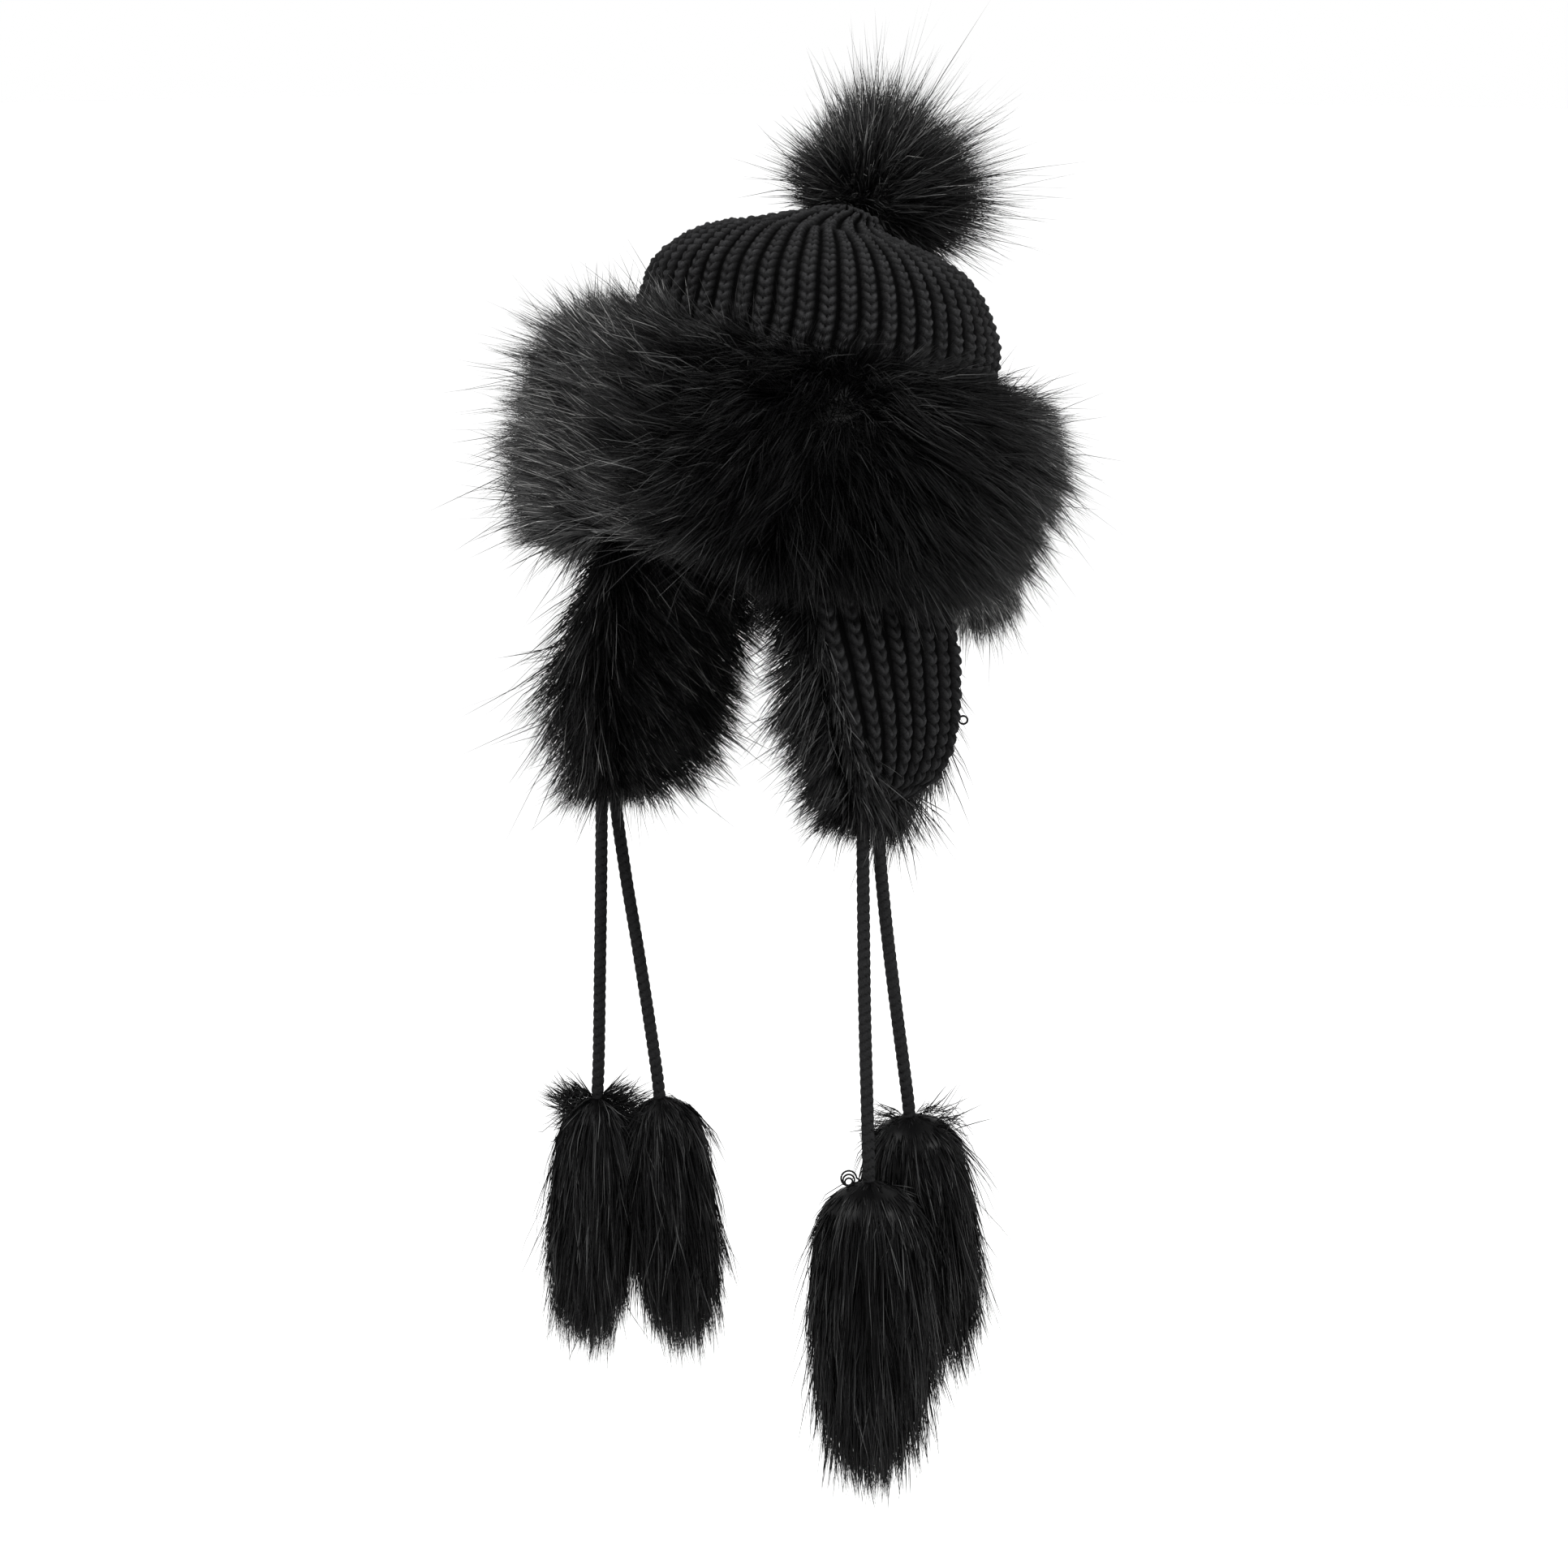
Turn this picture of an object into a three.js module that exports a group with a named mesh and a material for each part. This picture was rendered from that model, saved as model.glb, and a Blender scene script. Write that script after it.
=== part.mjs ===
// A knitted winter hat with a deep fur band, a fur pompom, two fur-lined ear flaps and four
// tie cords that end in fur tassels. Millimetres, +Z up, -Y the front, +X the wearer's left.
// The origin is the middle of the head opening, and the hat sits pitched with its front high.
import * as THREE from "three";

// Driving dimensions: the head opening and the knitted crown
const HEAD_HALF_WIDTH = 80;
const HEAD_HALF_DEPTH = 96;
const HAT_PITCH = THREE.MathUtils.degToRad(11.6);
const KNIT_WALL = 4;
const RIB_COUNT = 52;
const RIB_RELIEF = 3;
const CROWN_HEIGHT = 178;
const PEAK_HEIGHT = 13;
const PEAK_RADIUS = 13;
const INNER_DOME = 1;
const GATHER_STARTS = 0.35;

// Driving dimensions: the fur band round the crown
const BAND_HEIGHT = 88;
const BAND_BED = 24;
const BAND_PILE = 62;
const BAND_LOCKS_AROUND = 26;
const BAND_FACE_LIFT = 0.75;

// Driving dimensions: the ear flaps and their fur lining
const FLAP_WIDTH = 102;
const FLAP_DROP = 117;
const FLAP_FLARE = 16;
const FLARE_FULL_AT = 0.67;
const FLAP_CENTRE_Y = -11;
const FLAP_RIBS = 8;
const LINING_BACKING = 2;
const LINING_BED = 10;
const LINING_PILE = 30;
const LINING_COLUMNS = 5;
const LINING_EDGE = 0.55;

// Driving dimensions: the pompom, the tie cords and the tassels
const POMPOM_RADIUS = 57;
const POMPOM_CORE = 32;
const POMPOM_NECK = 6;
const POMPOM_REACH = 40;
const POMPOM_LEAN = THREE.MathUtils.degToRad(50);
const POMPOM_LOCKS_AROUND = 11;
const POMPOM_LOCK_LONG = 1.12;
const POMPOM_LOCK_SHORT = 0.1;
const POMPOM_CLEARANCE = 4;
const CORD_DIAMETER = 6.5;
const CORD_SIDES = 8;
const CORD_STEP = 2.5 * CORD_DIAMETER;
const CORD_SPACING = 10;
const CORD_REACH = 200;
const TASSEL_LENGTH = 150;
const TASSEL_RADIUS = 30;
const TASSEL_LOCKS = 8;
const GAP = 0.4;

// Outer sections of the crown, from the rim up, measured in the groove between two ribs:
// up is a share of CROWN_HEIGHT, wide of the half width, front, back and shift of the half depth.
const CROWN_SECTIONS = [
  { up: 0.0, wide: 1.0, front: 1.0, back: 1.0, shift: 0.0 },
  { up: 0.5, wide: 1.01, front: 1.01, back: 1.01, shift: 0.0 },
  { up: 0.585, wide: 1.035, front: 1.0, back: 1.07, shift: 0.02 },
  { up: 0.675, wide: 1.025, front: 0.98, back: 1.09, shift: 0.03 },
  { up: 0.79, wide: 0.95, front: 0.93, back: 0.99, shift: 0.02 },
  { up: 0.868, wide: 0.8, front: 0.8, back: 0.88, shift: 0.02 },
  { up: 0.915, wide: 0.62, front: 0.66, back: 0.67, shift: 0.03 },
  { up: 0.945, wide: 0.41, front: 0.48, back: 0.42, shift: 0.06 },
  { up: 0.962, wide: 0.24, front: 0.29, back: 0.23, shift: 0.11 },
];
// The gathered peak on top: up is a share of PEAK_HEIGHT above the crown's flat, wide of PEAK_RADIUS.
const PEAK_SECTIONS = [
  { up: 0.3, wide: 1.0 },
  { up: 0.7, wide: 0.72 },
  { up: 0.95, wide: 0.4 },
];
const PEAK_SHIFT = 0.15;

// Cross-section of the fur band's dense bed: out is a share of BAND_BED, up of BAND_HEIGHT.
// The faces up to the next row carry locks of hair where long, a share of the pile past the bed,
// is over 0. Their angle above level is rise, in degrees. Over the middle of the face, locks that
// would hang lose BAND_FACE_LIFT of that angle, so the band arches up there.
const BAND_PROFILE = [
  { out: 0.0, up: 0.97, long: 0, rise: 0 },
  { out: 0.0, up: 0.03, long: 0, rise: 0 },
  { out: 0.5, up: -0.03, long: 1.2, rise: -47 },
  { out: 0.88, up: 0.16, long: 1.12, rise: -22 },
  { out: 1.0, up: 0.39, long: 1.02, rise: 0 },
  { out: 1.0, up: 0.62, long: 1.08, rise: 20 },
  { out: 0.88, up: 0.85, long: 1.2, rise: 46 },
  { out: 0.5, up: 1.03, long: 0, rise: 0 },
];

// Outline of an ear flap: down is a share of FLAP_DROP, front and rear are the places of its two
// edges from the flap's middle, as shares of FLAP_WIDTH.
const FLAP_ROWS = [
  { down: 0.0, front: -0.5, rear: 0.5 },
  { down: 0.3, front: -0.48, rear: 0.48 },
  { down: 0.53, front: -0.435, rear: 0.43 },
  { down: 0.7, front: -0.385, rear: 0.4 },
  { down: 0.82, front: -0.355, rear: 0.34 },
  { down: 0.92, front: -0.335, rear: 0.22 },
  { down: 1.0, front: -0.325, rear: -0.02 },
];

// Routes of the cords from their exits under the flap, [x, y, z] from the exit as shares of
// CORD_REACH. A tassel hangs in line with the last stretch, and the cord runs on inside it. long is
// a share of TASSEL_LENGTH, and full of TASSEL_RADIUS.
const CORDS = [
  {
    name: "left_front",
    side: 1,
    place: 0,
    route: [
      [0, 0, 0],
      [0, 0, -0.1],
      [0.009, -0.007, -0.3],
      [0.031, -0.026, -0.55],
      [0.055, -0.044, -0.76],
      [0.069, -0.054, -0.91],
      [0.072, -0.056, -0.96],
    ],
    tassel: { long: 1.08, full: 1.13 },
  },
  {
    name: "left_rear",
    side: 1,
    place: 1,
    route: [
      [0, 0, 0],
      [0, 0, -0.1],
      [0.002, 0.02, -0.275],
      [0.003, 0.058, -0.5],
      [0.001, 0.099, -0.7],
      [0.001, 0.118, -0.8],
      [0.002, 0.123, -0.84],
    ],
    tassel: { long: 0.97, full: 1.03 },
  },
  {
    name: "right_front",
    side: -1,
    place: 0,
    route: [
      [0, 0, 0],
      [0, 0, -0.1],
      [-0.006, 0.001, -0.35],
      [-0.013, 0.001, -0.6],
      [-0.018, 0, -0.8],
      [-0.02, -0.0015, -0.87],
      [-0.022, -0.003, -0.92],
    ],
    tassel: { long: 0.93, full: 0.8 },
  },
  {
    name: "right_rear",
    side: -1,
    place: 1,
    route: [
      [0, 0, 0],
      [0.0025, 0, -0.1],
      [0.027, 0.011, -0.3],
      [0.059, 0.029, -0.525],
      [0.085, 0.0445, -0.725],
      [0.102, 0.055, -0.87],
      [0.106, 0.058, -0.92],
    ],
    tassel: { long: 0.95, full: 0.83 },
  },
];
// How far a cord runs on inside its tassel, as a share of the tassel's length.
const CORD_IN_TASSEL = 0.42;
// Tiers of a tassel from its top: down and tip are shares of its length, wide and ridge of its
// radius. Every second point round a tier is the tip of a lock, which hangs lower and stands out.
const TASSEL_TIERS = [
  { down: 0.0, wide: 0.3, tip: 0, ridge: 0 },
  { down: 0.04, wide: 0.62, tip: 0, ridge: 0.03 },
  { down: 0.14, wide: 0.84, tip: 0, ridge: 0.06 },
  { down: 0.34, wide: 0.93, tip: 0, ridge: 0.07 },
  { down: 0.5, wide: 0.95, tip: 0.07, ridge: 0.08 },
  { down: 0.5, wide: 0.84, tip: 0, ridge: 0.05 },
  { down: 0.72, wide: 0.9, tip: 0, ridge: 0.07 },
  { down: 0.84, wide: 0.84, tip: 0.09, ridge: 0.1 },
  { down: 0.82, wide: 0.6, tip: 0, ridge: 0.05 },
  { down: 0.9, wide: 0.42, tip: 0.1, ridge: 0.1 },
];

// A lock of hair narrows to this share of its root, at this share of its length.
const LOCK_NECK = { wide: 0.66, along: 0.58 };
// How unevenly locks grow: rise in degrees, length and sideways as shares of their length.
const UNEVEN = { rise: 8, length: 0.15, sideways: 0.2 };

const KNIT_COLOUR = 0x1c1c1e;
const FUR_COLOUR = 0x151515;
const CORD_COLOUR = 0x19191b;

const TURN = 2 * Math.PI;
const OUTER_HALF_WIDTH = HEAD_HALF_WIDTH + KNIT_WALL;
const OUTER_HALF_DEPTH = HEAD_HALF_DEPTH + KNIT_WALL;

// A number from 0 to 1 that looks random and is the same on every run.
function scatter(index, stream) {
  const value = Math.sin(index * 12.9898 + stream * 78.233) * 43758.5453;
  return value - Math.floor(value);
}

function spread(index, stream, amount) {
  return (scatter(index, stream) - 0.5) * 2 * amount;
}

// The value of a column between two rows of a table, at a place along another column.
function tableValue(rows, along, column, at) {
  const last = rows.length - 1;
  let upper = rows.findIndex((row) => row[along] >= at);
  upper = upper < 0 ? last : Math.max(upper, 1);
  const a = rows[upper - 1];
  const b = rows[upper];
  const share = (at - a[along]) / (b[along] - a[along]);
  return a[column] + (b[column] - a[column]) * Math.min(Math.max(share, 0), 1);
}

function geometryFrom(points, faces) {
  const geometry = new THREE.BufferGeometry();
  const flat = points.flatMap((p) => [p.x, p.y, p.z]);
  geometry.setAttribute("position", new THREE.Float32BufferAttribute(flat, 3));
  geometry.setIndex(faces.flat());
  geometry.computeVertexNormals();
  return geometry;
}

function mirrored(geometry) {
  const copy = geometry.clone();
  copy.scale(-1, 1, 1);
  const index = copy.index.array;
  for (let i = 0; i < index.length; i += 3) {
    [index[i + 1], index[i + 2]] = [index[i + 2], index[i + 1]];
  }
  copy.computeVertexNormals();
  return copy;
}

// Faces between two closed rings of equal count, facing away from the rings' middle going up.
function bridge(faces, lower, upper, count) {
  for (let i = 0; i < count; i++) {
    const next = (i + 1) % count;
    faces.push([lower + i, lower + next, upper + next]);
    faces.push([lower + i, upper + next, upper + i]);
  }
}

function cap(faces, ring, middle, count, up) {
  for (let i = 0; i < count; i++) {
    const next = (i + 1) % count;
    faces.push(up ? [ring + i, ring + next, middle] : [ring + next, ring + i, middle]);
  }
}

function middleOf(points, corners) {
  const middle = new THREE.Vector3();
  corners.forEach((corner) => middle.add(points[corner]));
  return middle.divideScalar(corners.length);
}

// A four-sided face of a surface, which either stays flat or carries a lock of hair: a tapered
// tuft that grows from the whole face and ends in a point at its middle plus the lock's vector.
function growOn(points, faces, corners, hair) {
  if (!hair) {
    const [a, b, c, d] = corners;
    faces.push([a, b, c], [a, c, d]);
    return;
  }
  const middle = middleOf(points, corners);
  const neck = points.length;
  for (const corner of corners) {
    const spot = points[corner].clone().sub(middle).multiplyScalar(LOCK_NECK.wide);
    points.push(spot.add(middle).addScaledVector(hair, LOCK_NECK.along));
  }
  points.push(middle.clone().add(hair));
  for (let i = 0; i < 4; i++) {
    const next = (i + 1) % 4;
    faces.push([corners[i], corners[next], neck + next]);
    faces.push([corners[i], neck + next, neck + i]);
    faces.push([neck + i, neck + next, neck + 4]);
  }
}

// One level section of the crown at a height above the rim, in the pitched frame.
function crownSection(height) {
  const up = height / CROWN_HEIGHT;
  const column = (name) => tableValue(CROWN_SECTIONS, "up", name, up);
  return {
    height,
    middle: column("shift") * OUTER_HALF_DEPTH,
    wide: column("wide") * OUTER_HALF_WIDTH,
    front: column("front") * OUTER_HALF_DEPTH,
    back: column("back") * OUTER_HALF_DEPTH,
  };
}

function sectionPoint(section, angle, grow) {
  const deep = Math.sin(angle) < 0 ? section.front : section.back;
  return new THREE.Vector3(
    (section.wide + grow) * Math.cos(angle),
    section.middle + (deep + grow) * Math.sin(angle),
    section.height,
  );
}

// The ribs flatten where the knit is gathered into the peak.
function ribRelief(halfWidth) {
  return RIB_RELIEF * Math.min(1, halfWidth / (GATHER_STARTS * OUTER_HALF_WIDTH));
}

// The ribbed outside has two points for each rib, a ridge and a groove. The inside is smooth.
function knitCrown() {
  const outerCount = 2 * RIB_COUNT;
  const outerSections = CROWN_SECTIONS.map((row) => crownSection(row.up * CROWN_HEIGHT));
  const peak = PEAK_SECTIONS.map((row) => ({
    height: CROWN_HEIGHT + row.up * PEAK_HEIGHT,
    middle: PEAK_SHIFT * OUTER_HALF_DEPTH,
    wide: row.wide * PEAK_RADIUS,
    front: row.wide * PEAK_RADIUS,
    back: row.wide * PEAK_RADIUS,
  }));
  const sections = [...outerSections, ...peak];
  const outer = sections.map((section) => {
    const relief = ribRelief(section.wide);
    const ring = [];
    for (let i = 0; i < outerCount; i++) {
      ring.push(sectionPoint(section, (TURN * i) / outerCount, i % 2 === 0 ? relief : 0));
    }
    return ring;
  });
  const innerSections = outerSections.slice(0, -1).map((section, k) => {
    const above = outerSections[k + 1];
    const below = outerSections[Math.max(k - 1, 0)];
    const rise = above.height - below.height;
    const close = below.wide - above.wide;
    const slope = Math.hypot(rise, close);
    const inward = KNIT_WALL * (rise / slope);
    return {
      height: section.height - (k ? KNIT_WALL * Math.max(close, 0) * (1 / slope) : 0),
      middle: section.middle,
      wide: section.wide - inward,
      front: section.front - inward,
      back: section.back - inward,
    };
  });
  const inner = innerSections.map((section) => {
    const ring = [];
    for (let i = 0; i < RIB_COUNT; i++) {
      ring.push(sectionPoint(section, (TURN * i) / RIB_COUNT, 0));
    }
    return ring;
  });
  const points = [...outer.flat(), ...inner.flat()];
  const faces = [];
  for (let k = 0; k + 1 < outer.length; k++) {
    bridge(faces, k * outerCount, (k + 1) * outerCount, outerCount);
  }
  const peakMiddle = PEAK_SHIFT * OUTER_HALF_DEPTH;
  points.push(new THREE.Vector3(0, peakMiddle, CROWN_HEIGHT + PEAK_HEIGHT));
  cap(faces, (outer.length - 1) * outerCount, points.length - 1, outerCount, true);
  const innerStart = outer.length * outerCount;
  for (let k = 0; k + 1 < inner.length; k++) {
    bridge(faces, innerStart + (k + 1) * RIB_COUNT, innerStart + k * RIB_COUNT, RIB_COUNT);
  }
  const innerTop = innerSections[innerSections.length - 1];
  points.push(new THREE.Vector3(0, innerTop.middle, innerTop.height + INNER_DOME));
  cap(faces, innerStart + (inner.length - 1) * RIB_COUNT, points.length - 1, RIB_COUNT, false);
  for (let i = 0; i < RIB_COUNT; i++) {
    const ridge = 2 * i;
    const groove = 2 * i + 1;
    const nextRidge = (2 * i + 2) % outerCount;
    const inside = innerStart + i;
    const nextInside = innerStart + ((i + 1) % RIB_COUNT);
    faces.push([groove, ridge, inside]);
    faces.push([groove, inside, nextInside]);
    faces.push([nextRidge, groove, nextInside]);
  }
  return geometryFrom(points, faces);
}

// A place on the fur band's bed. Its flats touch the ribs' outside plus the clearance.
function bandPoint(angle, { out, up }) {
  const flats = (OUTER_HALF_DEPTH + RIB_RELIEF) / Math.cos(Math.PI / BAND_LOCKS_AROUND);
  const bulge = flats - OUTER_HALF_DEPTH;
  const height = up * BAND_HEIGHT;
  const section = { ...crownSection(Math.min(Math.max(height, 0), BAND_HEIGHT)), height };
  return sectionPoint(section, angle, bulge + GAP + out * BAND_BED);
}

function furBand() {
  const count = BAND_LOCKS_AROUND;
  const points = [];
  for (const row of BAND_PROFILE) {
    for (let i = 0; i < count; i++) points.push(bandPoint((TURN * i) / count, row));
  }
  const faces = [];
  BAND_PROFILE.forEach((row, k) => {
    const above = (k + 1) % BAND_PROFILE.length;
    for (let i = 0; i < count; i++) {
      const next = (i + 1) % count;
      const corners = [k * count + i, k * count + next, above * count + next, above * count + i];
      const index = k * count + i;
      const angle = (TURN * (i + 0.5)) / count;
      growOn(points, faces, corners, row.long > 0 && bandLock(row, angle, index));
    }
  });
  return geometryFrom(points, faces);
}

function bandLock(row, angle, index) {
  const normal = new THREE.Vector3(
    Math.cos(angle) / OUTER_HALF_WIDTH,
    Math.sin(angle) / OUTER_HALF_DEPTH,
    0,
  ).normalize();
  const round = new THREE.Vector3(-normal.y, normal.x, 0);
  const overFace = Math.max(0, -Math.sin(angle)) ** 2;
  const lift = row.rise < 0 ? 1 - BAND_FACE_LIFT * overFace : 1;
  const rise = THREE.MathUtils.degToRad(row.rise * lift + spread(index, 1, UNEVEN.rise));
  const length = (BAND_PILE - BAND_BED) * (row.long + spread(index, 2, UNEVEN.length));
  return normal
    .multiplyScalar(Math.cos(rise) * length)
    .addScaledVector(round, spread(index, 3, UNEVEN.sideways) * length)
    .add(new THREE.Vector3(0, 0, Math.sin(rise) * length));
}

// A place on an ear flap's knitted outer face in the level frame. across runs 0 to 1 from the
// front edge to the rear one, down 0 to 1 from the rim to the tip, inset is toward the head.
function flapPoint(across, down, inset) {
  const front = tableValue(FLAP_ROWS, "down", "front", down) * FLAP_WIDTH;
  const rear = tableValue(FLAP_ROWS, "down", "rear", down) * FLAP_WIDTH;
  const place = FLAP_CENTRE_Y + front + (rear - front) * across;
  const flare = FLAP_FLARE * Math.sin(0.5 * Math.PI * Math.min(1, down / FLARE_FULL_AT));
  const wide = OUTER_HALF_WIDTH + flare;
  const deep = OUTER_HALF_DEPTH + flare;
  const out = wide * Math.sqrt(1 - (place / deep) ** 2);
  const normal = new THREE.Vector2(out / wide ** 2, place / deep ** 2).normalize();
  const x = out - normal.x * inset;
  const y = place - normal.y * inset;
  const rim = -y * Math.tan(HAT_PITCH) - GAP / Math.cos(HAT_PITCH);
  return new THREE.Vector3(x, y, rim + (-FLAP_DROP - rim) * down);
}

// A slab between two grids of points with the same rows and columns, outer facing out. hairOn
// gives the lock on a face of the named side, at its row and column, or nothing.
function slab(outer, inner, hairOn) {
  const rows = outer.length;
  const columns = outer[0].length;
  const points = [...outer.flat(), ...inner.flat()];
  const inside = rows * columns;
  const faces = [];
  const quad = (side, r, c, corners) => growOn(points, faces, corners, hairOn(side, r, c));
  for (let r = 0; r + 1 < rows; r++) {
    for (let c = 0; c + 1 < columns; c++) {
      const a = r * columns + c;
      const b = a + columns;
      quad("outer", r, c, [a, b, b + 1, a + 1]);
      quad("inner", r, c, [inside + a, inside + a + 1, inside + b + 1, inside + b]);
    }
    const left = r * columns;
    const right = left + columns - 1;
    quad("front", r, 0, [left, inside + left, inside + left + columns, left + columns]);
    quad("rear", r, columns - 1, [right, right + columns, inside + right + columns, inside + right]);
  }
  for (let c = 0; c + 1 < columns; c++) {
    const low = (rows - 1) * columns + c;
    quad("top", 0, c, [c, c + 1, inside + c + 1, inside + c]);
    quad("bottom", rows - 1, c, [low, inside + low, inside + low + 1, low + 1]);
  }
  return geometryFrom(points, faces);
}

function flapGrid(columns, insetAt) {
  return FLAP_ROWS.map((row) => {
    const line = [];
    for (let c = 0; c < columns; c++) {
      const across = c / (columns - 1);
      line.push(flapPoint(across, row.down, insetAt(across, row.down, c)));
    }
    return line;
  });
}

function knitFlap() {
  const columns = 2 * FLAP_RIBS + 1;
  const outer = flapGrid(columns, (across, down, c) => (c % 2 === 0 ? 0 : -RIB_RELIEF));
  const inner = flapGrid(columns, () => KNIT_WALL);
  return slab(outer, inner, () => null);
}

// The lining is a backing cloth with a dense bed of fur inside it. Locks cover its inner side, and
// a fringe of them reaches past its edges. It lies behind the knitted face by the clearance.
function flapLining() {
  const face = KNIT_WALL + GAP;
  const outer = flapGrid(LINING_COLUMNS + 1, () => face);
  const inner = flapGrid(LINING_COLUMNS + 1, (across, down) => {
    const border = Math.min(across, 1 - across, 1 - down);
    return face + LINING_BACKING + LINING_BED * Math.min(1, LINING_EDGE + 2 * border);
  });
  const long = LINING_PILE - LINING_BED;
  const directions = {
    inner: (across, down) => [-1, 1.1 * (across - 0.5), -0.35 - 0.3 * down],
    front: (across, down) => [-0.35, -0.85, -0.35 - 0.4 * down],
    rear: (across, down) => [-0.35, 0.85, -0.35 - 0.4 * down],
    bottom: (across) => [-0.45, 0.7 * (across - 0.5), -0.9],
  };
  return slab(outer, inner, (side, r, c) => {
    const hang = directions[side];
    if (!hang || (side !== "bottom" && r === 0)) return null;
    const index = 31 * r + c + 7 * side.length;
    const down = FLAP_ROWS[r].down;
    const [x, y, z] = hang(c / LINING_COLUMNS, down);
    const length = long * (side === "inner" ? 0.95 : 1.1) * (1 + spread(index, 4, UNEVEN.length));
    return new THREE.Vector3(x, y + spread(index, 5, UNEVEN.sideways), z)
      .normalize()
      .multiplyScalar(length);
  });
}

// The pompom stands on the end of its neck at the origin, with its axis along +Z. Its locks are
// pressed short where they would pass the plane that it rests on.
function topPompom(rest) {
  const count = POMPOM_LOCKS_AROUND;
  const ballRings = 7;
  const rows = [{ radius: POMPOM_NECK, height: 0 }];
  for (let k = 1; k < ballRings; k++) {
    const angle = Math.PI * (k / ballRings);
    rows.push({
      radius: POMPOM_CORE * Math.sin(angle),
      height: POMPOM_REACH - POMPOM_CORE * Math.cos(angle),
    });
  }
  const points = [];
  for (const { radius, height } of rows) {
    for (let i = 0; i < count; i++) {
      const angle = (TURN * i) / count;
      points.push(new THREE.Vector3(Math.cos(angle) * radius, Math.sin(angle) * radius, height));
    }
  }
  const faces = [];
  const ball = new THREE.Vector3(0, 0, POMPOM_REACH);
  for (let k = 0; k + 1 < rows.length; k++) {
    for (let i = 0; i < count; i++) {
      const next = (i + 1) % count;
      const corners = [k * count + i, k * count + next, (k + 1) * count + next, (k + 1) * count + i];
      const index = k * count + i;
      const root = middleOf(points, corners);
      const pile = POMPOM_RADIUS - POMPOM_CORE;
      const hair = root
        .clone()
        .sub(ball)
        .normalize()
        .add(new THREE.Vector3(spread(index, 8, UNEVEN.sideways), spread(index, 9, UNEVEN.sideways), 0))
        .multiplyScalar(pile * (POMPOM_LOCK_LONG + spread(index, 7, UNEVEN.length)));
      const above = rest.distanceToPoint(root);
      const tipAbove = rest.distanceToPoint(root.clone().add(hair));
      if (tipAbove < 0) hair.multiplyScalar(Math.max(above / (above - tipAbove), POMPOM_LOCK_SHORT));
      growOn(points, faces, corners, k > 0 && hair);
    }
  }
  const last = rows.length - 1;
  points.push(new THREE.Vector3(0, 0, 0), new THREE.Vector3(0, 0, POMPOM_REACH + POMPOM_RADIUS));
  cap(faces, 0, points.length - 2, count, false);
  cap(faces, last * count, points.length - 1, count, true);
  return geometryFrom(points, faces);
}

function routePoints(cord) {
  const exit = cordExit(cord);
  return cord.route.map(([x, y, z]) => {
    return new THREE.Vector3(x, y, z).multiplyScalar(CORD_REACH).add(exit);
  });
}

// A tassel hangs in line with the last stretch of its cord.
function tasselAxis(cord) {
  const points = routePoints(cord);
  const last = points.length - 1;
  return points[last].clone().sub(points[last - 1]).normalize();
}

// Cords leave the lower edge of a flap, at its front corner, one behind the other, and clear of
// the lining behind it.
function cordExit(cord) {
  const inset = KNIT_WALL - CORD_DIAMETER / 2 - GAP;
  const corner = flapPoint(0, 1, inset);
  const y = corner.y + CORD_DIAMETER / 2 + GAP + cord.place * CORD_SPACING;
  const rear = flapPoint(1, 1, inset);
  const share = (y - corner.y) / (rear.y - corner.y);
  const x = corner.x + (rear.x - corner.x) * share;
  return new THREE.Vector3(cord.side * x, y, -FLAP_DROP - GAP);
}

function octagon(radius) {
  const points = [];
  for (let i = 0; i < CORD_SIDES; i++) {
    const angle = (TURN * (i + 0.5)) / CORD_SIDES;
    points.push(new THREE.Vector2(radius * Math.cos(angle), radius * Math.sin(angle)));
  }
  return new THREE.Shape(points);
}

function tieCord(cord) {
  const points = routePoints(cord);
  const end = points[points.length - 1];
  const inside = cord.tassel.long * TASSEL_LENGTH * CORD_IN_TASSEL;
  for (const share of [0.25, 0.5, 0.75, 1]) {
    points.push(end.clone().addScaledVector(tasselAxis(cord), inside * share));
  }
  const path = new THREE.CatmullRomCurve3(points);
  const steps = Math.round(path.getLength() / CORD_STEP);
  return new THREE.ExtrudeGeometry(octagon(CORD_DIAMETER / 2), { steps, extrudePath: path });
}

function boreRadius() {
  return (CORD_DIAMETER / 2 + GAP) / Math.cos(Math.PI / (2 * TASSEL_LOCKS));
}

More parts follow.
